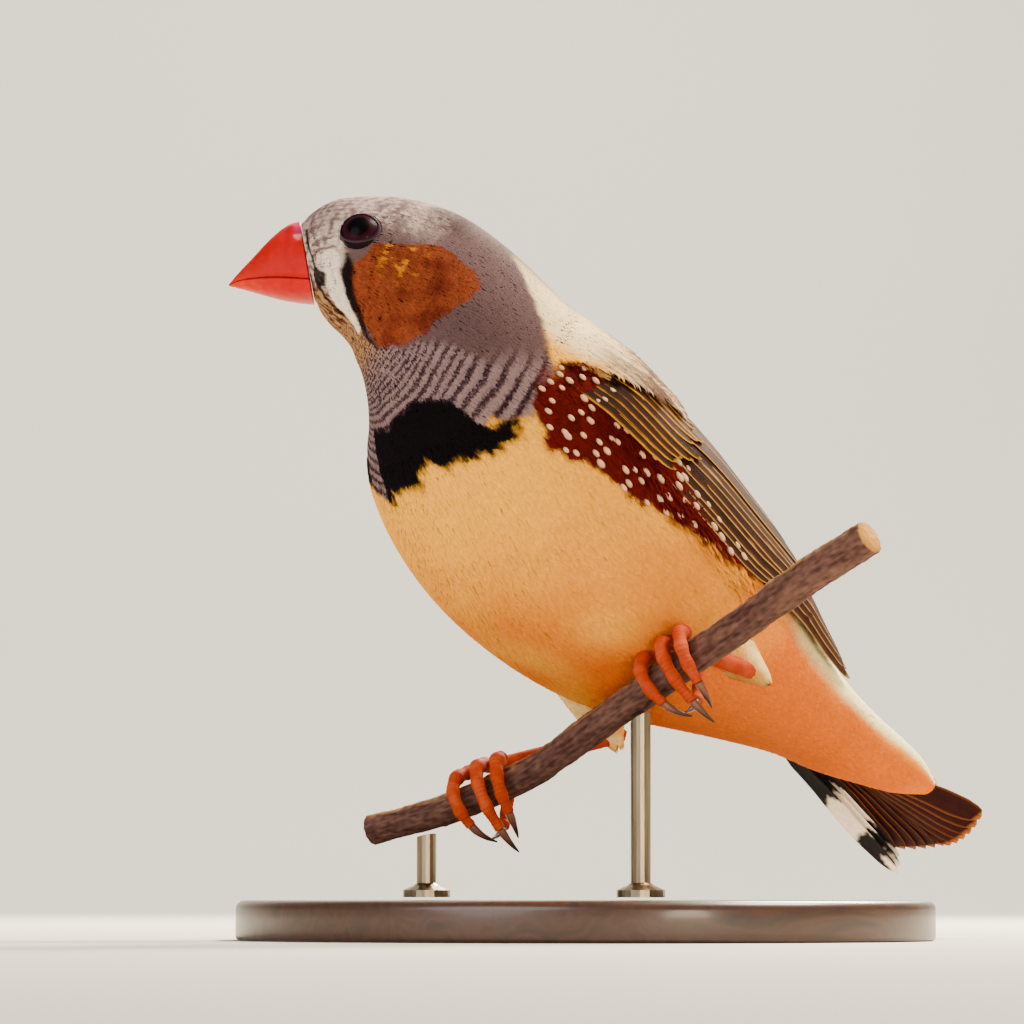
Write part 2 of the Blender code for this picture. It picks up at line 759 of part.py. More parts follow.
def tail_slab(first, last, widths, lows, highs, rows=4, shift=0.0):
    """A slab in the tail's frame whose half width, underside and top change evenly."""
    columns = 6
    low = []
    high = []
    for row in range(rows + 1):
        share = row / rows
        along = first + (last - first) * share
        half = widths[0] + (widths[1] - widths[0]) * share
        bottom = lows[0] + (lows[1] - lows[0]) * share
        top = highs[0] + (highs[1] - highs[0]) * share
        low_row = []
        high_row = []
        for column in range(columns + 1):
            across = 2.0 * column / columns - 1.0
            round_end = 0.06 * across * across * (share > 0.9)
            place = along - round_end
            bulge = math.sqrt(max(0.0, 1.0 - 0.85 * across * across))
            middle = 0.5 * (bottom + top)
            sideways = across * half + shift
            low_row.append(tail_point(place, sideways, middle + (bottom - middle) * bulge))
            high_row.append(tail_point(place, sideways, middle + (top - middle) * bulge))
        low.append(low_row)
        high.append(high_row)
    return slab(low, high)


def tail_vane(name, root, tip, half_width, material=None):
    """A feather between two points of the tail's frame."""
    low = []
    high = []
    for along, broad in VANE_STATIONS:
        centre = np.array(root) + (np.array(tip) - np.array(root)) * along
        low_row = []
        high_row = []
        for across in (-1.0, 0.0, 1.0):
            sideways = half_width * broad * across
            offset = np.array((0.0, sideways, TAIL_CAMBER * (1.0 - abs(across))))
            low_row.append(tail_point(*(centre + offset)))
            high_row.append(tail_point(*(centre + offset + (0.0, 0.0, VANE_THICKNESS))))
        low.append(low_row)
        high.append(high_row)
    return solid(name, slab(low, high), material)


def make_tail_feathers():
    middle_width = 0.5 * (TAIL_HALF_WIDTHS[0] + TAIL_HALF_WIDTHS[1])
    widths = (TAIL_HALF_WIDTHS[0], middle_width)
    core = tail_slab(TAIL_START, TAIL_CORE_END, widths, TAIL_CORE_LOWS, TAIL_CORE_HIGHS)
    tail = solid("tail", core, "plumage_brown")
    vanes = []
    for index in range(TAIL_FEATHERS):
        out = index - (TAIL_FEATHERS - 1) / 2.0
        share = 2.0 * out / (TAIL_FEATHERS - 1)
        level = TAIL_LEVEL - TAIL_STEP_DOWN * abs(out)
        root = (TAIL_START + 0.02, share * (TAIL_HALF_WIDTHS[0] - TAIL_ROOT_INSET), level - 0.3)
        reach = 1.0 - TAIL_ROUNDING * out**2
        tip = (reach, share * (TAIL_HALF_WIDTHS[1] - TAIL_TIP_INSET), level - 0.25)
        vanes.append(tail_vane(f"rectrix_{index}", root, tip, TAIL_FEATHER_HALF_WIDTH))
    boolean(tail, vanes, "UNION")


def make_upper_coverts():
    lows = (COVERT_LEVEL, COVERT_LEVEL)
    core = tail_slab(TAIL_START, UPPER_CORE_END, UPPER_CORE_WIDTHS, lows, UPPER_CORE_HIGHS, 2)
    upper = solid("tail_coverts_upper", core, "plumage_barred")
    vanes = []
    for index in range(UPPER_COVERTS):
        share = 2.0 * index / (UPPER_COVERTS - 1) - 1.0
        out = abs(share)
        root = (0.1, share * UPPER_SPREAD[0], COVERT_LEVEL + 0.5 - 0.3 * out)
        reach = UPPER_COVERTS_REACH - 0.1 * out
        tip = (reach, share * UPPER_SPREAD[1], COVERT_LEVEL + 0.2 - 0.15 * out)
        vanes.append(tail_vane(f"upper_covert_{index}", root, tip, UPPER_COVERT_HALF_WIDTH))
    boolean(upper, vanes, "UNION")


def make_under_coverts():
    highs = (-COVERT_LEVEL, -COVERT_LEVEL)
    shape = tail_slab(
        TAIL_START, UNDER_COVERTS_REACH, UNDER_COVERT_WIDTHS, UNDER_COVERT_LOWS, highs,
        shift=UNDER_COVERT_SHIFT,
    )
    solid("tail_coverts_under", shape, "plumage_cream")


def make_side_coverts():
    root, tip, half_width = SIDE_COVERTS[0]
    first = tail_vane("tail_covert_right", root, tip, half_width, "plumage_barred")
    others = []
    for index, (root, tip, half_width) in enumerate(SIDE_COVERTS[1:], 1):
        others.append(tail_vane(f"side_covert_{index}", root, tip, half_width))
    boolean(first, others, "UNION")


# Branch and stand

def perch_at(y):
    """The branch's centre and radius at a y, and the unit vector along it to the bird's left."""
    rows = smooth_line(PERCH_LINE, PERCH_SEARCH_STEPS)
    best = min(range(1, len(rows) - 1), key=lambda index: abs(rows[index][1] - y))
    row = rows[best]
    along = rows[best + 1][:3] - rows[best - 1][:3]
    return row[:3] + (0.0, 0.0, GRIP_HEIGHT), row[3], along / np.linalg.norm(along)


def make_perch():
    rows = smooth_line(PERCH_LINE, PERCH_SEGMENTS)
    line = [row[:3] + (0.0, 0.0, GRIP_HEIGHT) for row in rows]
    rod_curve("perch", line, [row[3] for row in rows], PERCH_RESOLUTION, "branch_bark")


def make_base():
    mesh = bpy.data.meshes.new("stand_base")
    shape = bmesh.new()
    bmesh.ops.create_cone(
        shape, cap_ends=True, segments=BASE_SIDES, radius1=MM, radius2=MM, depth=BASE_HEIGHT * MM
    )
    bmesh.ops.scale(shape, vec=(BASE_HALF_X, BASE_HALF_Y, 1.0), verts=shape.verts)
    shape.to_mesh(mesh)
    shape.free()
    base = place_mesh("stand_base", mesh, (0.0, 0.0, BASE_HEIGHT / 2.0), "stand_wood")
    bevel = base.modifiers.new("rounded_rim", "BEVEL")
    bevel.width = BASE_CHAMFER * MM
    bevel.segments = BASE_CHAMFER_STEPS
    bevel.limit_method = "ANGLE"
    bevel.angle_limit = math.radians(50.0)


def make_rods():
    for number, y in enumerate(ROD_Y, 1):
        centre, radius, along = perch_at(y)
        level = math.hypot(along[0], along[1])
        slant = along[2] / level
        under = centre[2] - radius * PERCH_ROUNDNESS_ROOM * math.hypot(1.0, slant) - GAP
        foot = BASE_HEIGHT + GAP
        profile = (
            (foot, ROD_FOOT_RADIUS),
            (foot + ROD_FOOT_HEIGHT * 0.6, ROD_FOOT_RADIUS),
            (foot + ROD_FOOT_HEIGHT, ROD_RADIUS * 1.3),
            (foot + ROD_FOOT_HEIGHT * 1.2, ROD_RADIUS),
            (None, ROD_RADIUS),
        )
        sections = []
        for height, size in profile:
            ring = []
            for step in range(ROD_SIDES):
                x = size * math.cos(2.0 * math.pi * step / ROD_SIDES)
                sideways = size * math.sin(2.0 * math.pi * step / ROD_SIDES)
                rise = (x * along[0] + sideways * along[1]) / level * slant
                top = under + rise if height is None else height
                ring.append(np.array((centre[0] + x, centre[1] + sideways, top)))
            sections.append(ring)
        solid(f"stand_rod_{number}", loft(sections), "stand_metal")


# Legs

def foot_point(word, point):
    """A point measured along the branch, forwards and upwards from its centre line at a foot."""
    centre, _, along = perch_at(FOOT_Y[word])
    forwards = np.array((-1.0, 0.0, 0.0))
    forwards = forwards - along * (forwards @ along)
    forwards /= np.linalg.norm(forwards)
    above = np.cross(forwards, along)
    if above[2] < 0.0:
        above = -above
    return centre + along * point[0] + forwards * point[1] + above * point[2]


def make_leg(word, torso):
    """Shin, foot, thigh, toes and claws of a side, and the room that they need in the torso."""
    pad = foot_point(word, PAD)
    heel = np.array(HEEL[word]) + (0.0, 0.0, GRIP_HEIGHT)
    knee = np.array(KNEE[word]) + (0.0, 0.0, GRIP_HEIGHT)
    front = foot_point(word, (PAD[0], PAD[1] + 0.9, PAD[2] + 0.1))
    shin = pad + (heel - pad) * 0.14 + (0.0, 0.0, 0.15)
    line = [heel, heel + (shin - heel) * 0.15, heel + (shin - heel) * 0.5, shin, pad, front]
    solid("tarsus_" + word, tube(np.array(line), TARSUS_RADII, TARSUS_SIDES), "leg_skin")
    line[0] = heel - (shin - heel) * 0.04
    space = tube(np.array(line), TARSUS_SPACE, TARSUS_SIDES)
    make_thigh(word, heel, knee, space)
    spaces = [solid("shin_space_" + word, space)]
    for number, points in TOES.items():
        spaces.append(make_toe(word, number, points))
    boolean(torso, spaces, "DIFFERENCE")


def make_thigh(word, heel, knee, shin_space):
    reach = (heel - knee) / np.linalg.norm(heel - knee)
    start = heel - reach * (0.7 + GAP)
    line = np.array([start - reach * distance for distance in THIGH_DISTANCES])
    radii = [(radius, radius) for radius in THIGH_RADII]
    thigh = solid("thigh_" + word, tube(line, radii, THIGH_SIDES), "plumage_cream")
    body_space = solid("body_space_" + word, body_solid(THIGH_CUT, GAP))
    boolean(thigh, [body_space, solid("heel_space_" + word, shin_space)], "DIFFERENCE")


def make_toe(word, number, points):
    """A toe and its claw; gives back the solid of the room that the toe needs."""
    line = np.array([foot_point(word, point) for point in points])
    fine = np.array(smooth_line(line, TOE_SEGMENTS))
    shares = np.linspace(0.0, 1.0, TOE_SEGMENTS + 1)
    radii = np.interp(shares, np.linspace(0.0, 1.0, len(TOE_RADII)), TOE_RADII)
    rod_curve(f"toe_{word}_{number}", fine, radii, TOE_RESOLUTION, "leg_skin")
    ahead = fine[-1] - fine[-2]
    ahead /= np.linalg.norm(ahead)
    centre, _, _ = perch_at(FOOT_Y[word])
    inwards = centre - fine[-1]
    inwards = inwards - ahead * (inwards @ ahead)
    inwards /= np.linalg.norm(inwards)
    claw = [fine[-1] + ahead * GAP]
    for step in range(CLAW_STEPS):
        bend = math.radians(CLAW_BEND) * (step + 0.5) / CLAW_STEPS
        heading = ahead * math.cos(bend) + inwards * math.sin(bend)
        claw.append(claw[-1] + heading * CLAW_LENGTH / CLAW_STEPS)
    rod_curve(f"claw_{word}_{number}", np.array(claw), CLAW_RADII, CLAW_RESOLUTION, "claw_horn")
    room = [(radius + GAP, radius + GAP) for radius in radii]
    return solid(f"toe_space_{word}_{number}", tube(fine, room, TOE_SPACE_SIDES))


make_head()
make_bill()
TORSO = make_body()
make_wings()
make_tail_feathers()
make_upper_coverts()
make_under_coverts()
make_side_coverts()
make_perch()
make_base()
make_rods()
for side_word in ("left", "right"):
    make_leg(side_word, TORSO)
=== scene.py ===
"""Zebra finch on a cut length of branch: skin, plumage, bill, eyes, legs, bark, stand and studio."""

import math

import bpy
import numpy as np
from mathutils import Matrix, Vector


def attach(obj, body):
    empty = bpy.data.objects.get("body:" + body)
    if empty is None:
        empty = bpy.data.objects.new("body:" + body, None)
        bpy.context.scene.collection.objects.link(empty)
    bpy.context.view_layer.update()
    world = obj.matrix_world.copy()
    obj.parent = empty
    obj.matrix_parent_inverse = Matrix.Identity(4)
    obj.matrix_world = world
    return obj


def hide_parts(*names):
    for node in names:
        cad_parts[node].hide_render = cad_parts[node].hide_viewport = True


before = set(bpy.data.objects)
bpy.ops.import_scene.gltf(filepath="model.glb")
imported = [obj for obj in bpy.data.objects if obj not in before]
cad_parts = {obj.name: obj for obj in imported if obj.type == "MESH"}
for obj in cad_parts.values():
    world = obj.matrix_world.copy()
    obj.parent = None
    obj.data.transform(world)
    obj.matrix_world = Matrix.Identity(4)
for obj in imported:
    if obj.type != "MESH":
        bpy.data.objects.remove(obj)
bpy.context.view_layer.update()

# Sizes in millimetres and angles in degrees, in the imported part's frame

GRIP_HEIGHT = 19.5
HEAD_TURN = 42.0
BODY_ROLL = 12.0
NECK_X = -13.2
# Each ring: x from the neck's turning line, z above the grip, lean, half depth, half width,
# its share of the head's turn and its shift along y; the last three are the undertail coverts
RINGS = np.array((
    (-17.6, 47.6, -10.0, 3.9, 3.4, 1.00, 0.0),
    (-16.7, 47.6, -4.0, 5.1, 4.8, 1.00, 0.0),
    (-15.1, 47.6, 3.0, 6.3, 6.2, 1.00, 0.0),
    (-13.0, 47.2, 10.0, 7.1, 7.2, 1.00, 0.0),
    (-10.9, 46.6, 18.0, 7.9, 7.9, 1.00, 0.0),
    (-9.0, 45.6, 26.0, 8.7, 8.5, 1.00, 0.0),
    (-7.1, 44.2, 33.0, 9.4, 9.2, 0.95, 0.0),
    (-5.3, 42.0, 39.0, 10.2, 10.0, 0.82, 0.0),
    (-3.6, 39.1, 44.0, 11.2, 11.2, 0.62, 0.0),
    (-2.1, 35.9, 47.0, 12.3, 12.6, 0.38, 0.0),
    (0.2, 32.2, 48.0, 13.2, 14.0, 0.16, 0.0),
    (3.9, 27.9, 47.0, 14.0, 14.8, 0.03, 0.0),
    (8.6, 23.4, 44.0, 14.3, 15.0, 0.00, 0.0),
    (14.1, 19.3, 39.0, 13.9, 14.6, 0.00, 0.0),
    (20.2, 15.5, 34.0, 12.8, 13.4, 0.00, 0.0),
    (26.4, 12.5, 30.0, 11.2, 11.6, 0.00, 0.0),
    (32.6, 9.5, 29.0, 8.9, 9.6, 0.00, 0.0),
    (38.6, 6.4, 31.0, 6.6, 7.6, 0.00, -0.1),
    (44.2, 3.5, 33.0, 4.7, 6.0, 0.00, -0.4),
    (49.0, 1.0, 31.0, 3.8, 4.8, 0.00, -1.0),
    (52.7, -0.7, 29.0, 3.1, 3.6, 0.00, -2.0),
    (55.6, -2.3, 32.0, 2.3, 2.6, 0.00, -3.2),
    (58.0, -3.7, 33.0, 0.9, 1.0, 0.00, -4.4),
))
LAST_RING = len(RINGS) - 1.0
SKIN_DEPTH = 0.45
EYE_HOLLOW = 1.1

EYE_RING = 3.1
EYE_ANGLE = 77.0
EYE_RADIUS = 2.4
EYE_DEPTH = 1.65

BILL = np.array((
    (0.0, 4.1, -2.7, -4.1, 3.3),
    (1.2, 3.8, -2.5, -4.05, 3.0),
    (2.6, 2.95, -2.3, -3.85, 2.6),
    (4.0, 1.75, -2.15, -3.5, 2.05),
    (5.4, 0.3, -2.1, -3.1, 1.4),
    (6.7, -1.1, -2.15, -2.75, 0.75),
    (7.7, -2.35, -2.4, -2.5, 0.12),
))

PERCH_LINE = np.array((
    (-7.6, 23.6, -8.4, 1.60),
    (-5.5, 13.8, -6.2, 1.62),
    (-2.8, 4.8, -2.7, 1.66),
    (-0.3, -2.9, 2.1, 1.68),
    (1.5, -12.5, 7.5, 1.70),
    (3.4, -19.7, 11.7, 1.72),
    (5.1, -27.2, 16.2, 1.85),
    (6.4, -34.0, 19.6, 1.80),
))

TAIL_ROOT = (36.4, 0.3, -0.8)
TAIL_TIP = (53.0, 0.6, -9.7)
TAIL_ROLL = 6.0

SIDES = {"left": 1.0, "right": -1.0}
FOOT_Y = {"left": -12.5, "right": 9.1}
HEEL = {"left": (13.3, -11.3, 7.2), "right": (9.6, 5.9, 1.1)}
KNEE = {"left": (9.5, -6.0, 12.4), "right": (5.5, 6.5, 8.6)}
PAD = (0.0, -1.5, 2.85)
TOES = {
    1: ((0.0, -3.0, 1.3), (-0.2, -3.0, -0.3), (-0.4, -2.5, -2.0), (-0.5, -1.4, -3.4)),
    2: ((-1.9, -0.1, 2.85), (-2.5, 1.7, 2.2), (-2.7, 2.8, 0.6), (-2.5, 2.7, -1.6), (-2.2, 1.8, -3.1)),
    3: ((0.0, -0.1, 2.95), (0.2, 1.9, 2.3), (0.4, 2.9, 0.4), (0.6, 2.7, -2.2), (0.8, 1.5, -4.6)),
    4: ((1.9, -0.1, 2.85), (2.5, 1.7, 2.2), (2.7, 2.8, 0.4), (2.6, 2.7, -1.7), (2.4, 1.8, -3.4)),
}
TOE_RADII = (0.72, 0.74, 0.66, 0.62, 0.5)
CLAW_LENGTH = 3.0
CLAW_RADII = (0.44, 0.4, 0.3, 0.2, 0.08)

SEED = 7
rng = np.random.default_rng(SEED)


# Small maths

def unit(vectors):
    return vectors / np.maximum(np.linalg.norm(vectors, axis=-1, keepdims=True), 1e-12)


def raised(point):
    """A place given from the grip, in the part's frame."""
    return np.asarray(point, float) + (0.0, 0.0, GRIP_HEIGHT)


def turns(count):
    """Angles evenly round a circle."""
    return np.linspace(0.0, 2.0 * math.pi, count, endpoint=False)


def grid(along, across):
    """Two values for each point of a grid of rows and columns."""
    return np.meshgrid(along, across, indexing="ij")


def spline(rows, place):
    """Smooth rows between those of a table, at an array of places counted in rows."""
    rows = np.asarray(rows, float)
    place = np.clip(np.asarray(place, float), 0.0, len(rows) - 1.0 - 1e-9)
    index = place.astype(int)
    part = (place - index)[..., None]
    padded = np.vstack((2.0 * rows[:1] - rows[1:2], rows, 2.0 * rows[-1:] - rows[-2:-1]))
    before, start, end, after = (padded[index + shift] for shift in range(4))
    return 0.5 * (
        2.0 * start
        + (end - before) * part
        + (2.0 * before - 5.0 * start + 4.0 * end - after) * part**2
        + (3.0 * start - before - 3.0 * end + after) * part**3
    )


def smooth(low, high, value):
    share = np.clip((value - low) / (high - low), 0.0, 1.0)
    return share * share * (3.0 - 2.0 * share)


def band(value, low, full, end, gone):
    """1 between full and end, fading to 0 at low and at gone."""
    return smooth(low, full, value) * smooth(gone, end, value)


def bell(value, middle, width, power=2):
    """1 at the middle, falling away over the width."""
    return np.exp(-np.abs((value - middle) / width) ** power)


def mix(first, second, share):
    share = np.asarray(share)[..., None]
    return first * (1.0 - share) + second * share


NOISE_WAVES = rng.normal(size=(24, 3))
NOISE_PHASES = rng.uniform(0.0, 2.0 * math.pi, 24)


def noise(points, size):
    """A smooth value about -1 to 1 that changes over about size millimetres."""
    waves = NOISE_WAVES * (2.2 / size)
    return np.sin(points @ waves.T + NOISE_PHASES).sum(axis=-1) / 4.0


def srgb(red, green, blue):
    """Linear colour of a screen colour of 0 to 255."""
    value = np.array((red, green, blue)) / 255.0
    return np.where(value <= 0.04045, value / 12.92, ((value + 0.055) / 1.055) ** 2.4)


def dye(red, green, blue, strength=1.35):
    """Base colour that shows as a screen colour: the view pales colours, so this deepens them."""
    colour = srgb(red, green, blue)
    grey = colour @ (0.2126, 0.7152, 0.0722)
    return np.clip(grey + (colour - grey) * strength, 0.0015, 0.9)


# The body's surface

PLACE_STEP = 0.05


def ring_frame(place):
    """Centre of a ring, and its reaches to the back and to the left."""
    place = np.asarray(place, float)
    x, z, lean, depth, width, share, shift = np.moveaxis(spline(RINGS, place), -1, 0)
    turn = -np.radians(HEAD_TURN * share)
    lean = np.radians(lean)
    zero = np.zeros_like(x)
    centre = np.stack((NECK_X + x * np.cos(turn), x * np.sin(turn) + shift, z + GRIP_HEIGHT), -1)
    ahead = np.stack((np.cos(turn), np.sin(turn), zero), -1)
    back = ahead * np.sin(lean)[..., None]
    back[..., 2] += np.cos(lean)
    left = np.stack((np.sin(turn), -np.cos(turn), zero), -1)
    roll = math.radians(BODY_ROLL)
    rolled_back = (back * math.cos(roll) - left * math.sin(roll)) * depth[..., None]
    rolled_left = (left * math.cos(roll) + back * math.sin(roll)) * width[..., None]
    return centre, rolled_back, rolled_left


def on_ring(place, degrees):
    centre, back, left = ring_frame(place)
    angle = np.radians(degrees)[..., None]
    return centre + back * np.cos(angle) + left * np.sin(angle)


def body_point(place, degrees, lift=0.0):
    """Points of the body and its outward unit normals; degrees go from the back to the left."""
    place, degrees = np.broadcast_arrays(np.asarray(place, float), np.asarray(degrees, float))
    low = np.maximum(place - PLACE_STEP, 0.0)
    high = np.minimum(place + PLACE_STEP, LAST_RING)
    along = on_ring(high, degrees) - on_ring(low, degrees)
    around = on_ring(place, degrees + 1.0) - on_ring(place, degrees - 1.0)
    point = on_ring(place, degrees)
    normal = unit(np.cross(along, around))
    outwards = point - ring_frame(place)[0]
    normal = np.where((normal * outwards).sum(-1, keepdims=True) > 0.0, normal, -normal)
    return point + normal * np.asarray(lift)[..., None], normal


def place_rate(place, degrees):
    """Millimetres along the body for one step of place."""
    low = np.maximum(place - PLACE_STEP, 0.0)
    high = np.minimum(place + PLACE_STEP, LAST_RING)
    length = np.linalg.norm(on_ring(high, degrees) - on_ring(low, degrees), axis=-1)
    return np.maximum(length / (high - low), 0.4)


def around_rate(place, degrees):
    """Millimetres round the body for one degree."""
    return np.linalg.norm(on_ring(place, degrees + 0.5) - on_ring(place, degrees - 0.5), axis=-1)


eye_centres = {}
eye_axes = {}
for eye_word, eye_side in SIDES.items():
    eye_place, eye_normal = body_point(EYE_RING, eye_side * EYE_ANGLE)
    eye_centres[eye_word] = eye_place - eye_normal * EYE_DEPTH
    eye_axes[eye_word] = eye_normal


def eye_distance(points):
    """Distance from the nearer eye's axis, on its own side of the head."""
    nearest = np.full(points.shape[:-1], 99.0)
    for word in eye_centres:
        offset = points - eye_centres[word]
        ahead = (offset * eye_axes[word]).sum(-1)
        radial = np.linalg.norm(offset - ahead[..., None] * eye_axes[word], axis=-1)
        nearest = np.where(ahead > -1.0, np.minimum(nearest, radial), nearest)
    return nearest


# Markings and painted light, the same on skin and coat: place along the body, degrees from the back to either
# side

GREY = dye(92, 76, 76)
GREY_DARK = dye(78, 62, 62)
PALE_GREY = dye(206, 186, 176)
# Grey of the crown painted paler: painted rim light on the top of the head
CROWN_RIM_LIT = dye(152, 134, 130)
CHEEK = dye(120, 54, 28, 1.0)
CHEEK_DARK = dye(92, 32, 18, 1.0)
# Golden flecks of the cheek: painted highlights on its upper part
CHEEK_GOLD_HIGHLIGHT = dye(206, 140, 56)
BLACK = dye(9, 6, 8)
WHITE = dye(236, 222, 208)
BAR_PALE = dye(128, 110, 110)
BAR_DARK = dye(38, 24, 30)
CHIN = dye(160, 128, 100)
CHIN_DARK = dye(80, 52, 42)
# Buff belly tinted peach, and an orange glow towards the vent: painted warm light from below over the buff
BELLY = dye(230, 174, 106)
PAINTED_WARM_GLOW = dye(196, 108, 28)
CHESTNUT = dye(76, 14, 8, 1.1)
SPOT = dye(212, 176, 150)
MANTLE = dye(98, 74, 60)
MANTLE_DARK = dye(62, 42, 32)
# Pale cream on the mantle's sides: painted rim light; the same colour gives the mantle's pale streaks
MANTLE_PALE_AND_RIM_LIGHT = dye(236, 214, 178)
RUMP_WHITE = dye(250, 230, 186)

CHEEK_OUTLINE = (
    (3.1, 105), (3.3, 102), (3.6, 96), (3.9, 87), (4.4, 84), (5.1, 78), (5.7, 72), (6.1, 69),
    (6.5, 71), (6.9, 72), (7.2, 75), (7.3, 81), (7.3, 87), (7.2, 96), (7.1, 108), (7.0, 117),
    (6.9, 126), (6.7, 135), (6.4, 144), (6.0, 147), (5.5, 145), (4.5, 143), (3.8, 138),
    (3.4, 126), (3.1, 114),
)
TEAR_LINE = (
    (2.7, 99), (2.9, 108), (3.0, 117), (3.2, 129), (3.7, 138), (4.5, 145), (5.3, 148), (6.1, 148),
)
BILL_LINE = (
    (0.4, 57), (0.3, 78), (0.6, 96), (0.8, 111), (1.1, 123), (1.2, 135), (1.7, 144), (2.4, 150), (3.0, 153),
)
WHITE_LINE = ((1.9, 104), (2.1, 117), (2.4, 126), (2.5, 135), (2.8, 141), (3.5, 148), (4.3, 152))
HOOD_EDGE = (
    (-1, 7.3), (42, 7.6), (54, 8.05), (66, 8.5), (72, 8.75), (81, 9.0), (90, 9.3), (99, 9.5),
    (108, 9.65), (117, 9.7), (123, 9.6), (130, 9.3), (181, 9.1),
)
BARS_TOP = (
    (84, 9.1), (90, 8.75), (96, 8.5), (108, 8.1), (113, 7.5), (125, 7.0), (135, 6.8),
    (147, 6.1), (153, 4.6), (159, 3.3), (181, 2.6),
)
BAR_COUNT = (
    (2.0, -15.0), (4.5, 0.0), (6.5, 12.0), (7.5, 17.4), (8.5, 21.8), (9.9, 26.8), (11.0, 30.0),
)
BIB_TOP = (
    (117, 9.85), (121, 9.65), (126, 9.5), (132, 9.4), (134, 9.2), (136, 8.7), (139, 8.35),
    (147, 8.1), (159, 8.0), (170, 8.1), (181, 8.2),
)
BIB_BOTTOM = (
    (117, 9.7), (126, 9.85), (135, 9.95), (144, 9.75), (153, 9.65), (160, 9.75), (165, 9.4),
    (169, 9.5), (174, 9.6), (181, 9.75),
)
FLANK_TOP = (
    (9.2, 95), (9.4, 87), (9.7, 80), (10.0, 80), (11.2, 80), (12.2, 78), (13.4, 77), (14.6, 75), (16.0, 66),
)
FLANK_BOTTOM = (
    (9.2, 97), (9.6, 112), (10.0, 119), (10.2, 122), (10.6, 119), (10.8, 115), (11.2, 112),
    (11.8, 108), (12.4, 101), (13.1, 97), (13.7, 94), (14.3, 91), (15.3, 79), (16.0, 70),
)


# Millimetres on the face for one step of place and for one degree
DRAWN_SCALE = (2.0, 0.12)


def line_value(line, value):
    """Second value of a table's rows where the first is the value given."""
    return np.interp(value, *zip(*line))


def inside(outline, place, degrees):
    """True where a place lies within a closed outline."""
    result = np.zeros(place.shape, bool)
    points = list(outline)
    for (t0, a0), (t1, a1) in zip(points, points[1:] + points[:1]):
        crosses = (a0 > degrees) != (a1 > degrees)
        if a0 != a1:
            result ^= crosses & (place < (t1 - t0) * (degrees - a0) / (a1 - a0) + t0)
    return result


def to_line(line, place, degrees):
    """Distance from a drawn line and the share along it of its nearest place."""
    best = np.full(place.shape, 99.0)
    share = np.zeros(place.shape)
    flat = np.stack((place, degrees), -1) * DRAWN_SCALE
    points = np.array(line) * DRAWN_SCALE
    for index, (start, end) in enumerate(zip(points, points[1:])):
        run = end - start
        part = np.clip(((flat - start) @ run) / (run @ run), 0.0, 1.0)
        distance = np.linalg.norm(flat - start - part[..., None] * run, axis=-1)
        share = np.where(distance < best, (index + part) / (len(points) - 1), share)
        best = np.minimum(best, distance)
    return best, share


def surface_noise(along, around, size):
    """Noise that is drawn out on the unrolled body."""
    return noise(np.stack((along, around, 0.0 * around), -1), size)


def hood_colour(place, side, points):
    """Grey of the head and neck with its flecks, the crown painted paler as rim light, and the mottled lores.
    """
    # the top of the head is painted paler: painted rim light
    colour = mix(CROWN_RIM_LIT, GREY, np.maximum(smooth(46.0, 84.0, side), smooth(4.9, 6.2, place)))
    colour = mix(colour, GREY_DARK, 0.75 * smooth(5.5, 8.5, place) * smooth(60.0, 95.0, side))
    back_of_crown = band(place, 4.9, 5.4, 6.0, 6.6) * smooth(62.0, 50.0, side)
    colour = mix(colour, GREY_DARK * 0.6, 0.7 * back_of_crown)
    fleck = noise(points, 0.42)
    crown = smooth(6.5, 4.0, place) * smooth(80.0, 55.0, side)
    pale = smooth(0.0, 0.9, fleck) * (0.45 + 0.4 * smooth(35.0, 55.0, side))
    colour = mix(colour, PALE_GREY, crown * pale)
    colour = mix(colour, BAR_DARK, crown * smooth(-0.3, -1.0, fleck) * 0.5)
    lores = smooth(2.9, 2.3, place) * smooth(60.0, 76.0, side)
    mottled = mix(PALE_GREY, GREY_DARK, smooth(0.1, -0.8, fleck) * 0.8)
    colour = mix(colour, mix(mottled, WHITE, smooth(0.3, 1.0, fleck)), lores * 0.8)
    streak = surface_noise(place * 0.8, side * 0.16, 0.35)
    chin = mix(CHIN, CHIN_DARK, smooth(-0.1, 0.5, streak))
    return mix(colour, chin, smooth(128.0, 146.0, side) * smooth(5.2, 4.0, place))


def trunk_colour(place, side, points):
    """Back, belly, vent and rump without their markings, with painted rim light on the mantle's sides and
    painted warm light on the belly and vent.
    """
    streak = surface_noise(place * 1.3, side * 0.8, 1.0)
    # the mantle's sides painted pale cream: painted rim light
    back = mix(MANTLE, MANTLE_PALE_AND_RIM_LIGHT, smooth(26.0, 56.0, side) * smooth(11.2, 9.4, place))
    back = mix(back, MANTLE_DARK, smooth(-0.2, 0.6, streak) * smooth(9.4, 10.6, place) * 0.7)
    back = mix(back, MANTLE_PALE_AND_RIM_LIGHT, smooth(-0.2, -1.2, streak) * smooth(8.8, 10.4, place) * 0.5)
    # orange glow towards the vent and the underside: painted warm light
    painted_glow = 0.95 * smooth(9.8, 17.0, place) + 0.3 * smooth(120.0, 175.0, side) * smooth(10.0, 13.0, place)
    painted_glow = np.clip(painted_glow * (1.0 + 0.25 * noise(points, 5.0)), 0.0, 0.95)
    belly = mix(BELLY, PAINTED_WARM_GLOW, painted_glow)
    colour = mix(back, belly, smooth(72.0, 84.0, side))
    white = smooth(15.4, 16.8, place) * smooth(100.0, 78.0, side)
    colour = mix(colour, RUMP_WHITE, white)
    # the vent is painted more orange underneath: painted warm light
    vent = mix(BELLY, PAINTED_WARM_GLOW, 0.25 + 0.7 * smooth(80.0, 110.0, side))
    return mix(colour, vent, smooth(18.0, 20.5, place) * smooth(74.0, 98.0, side))


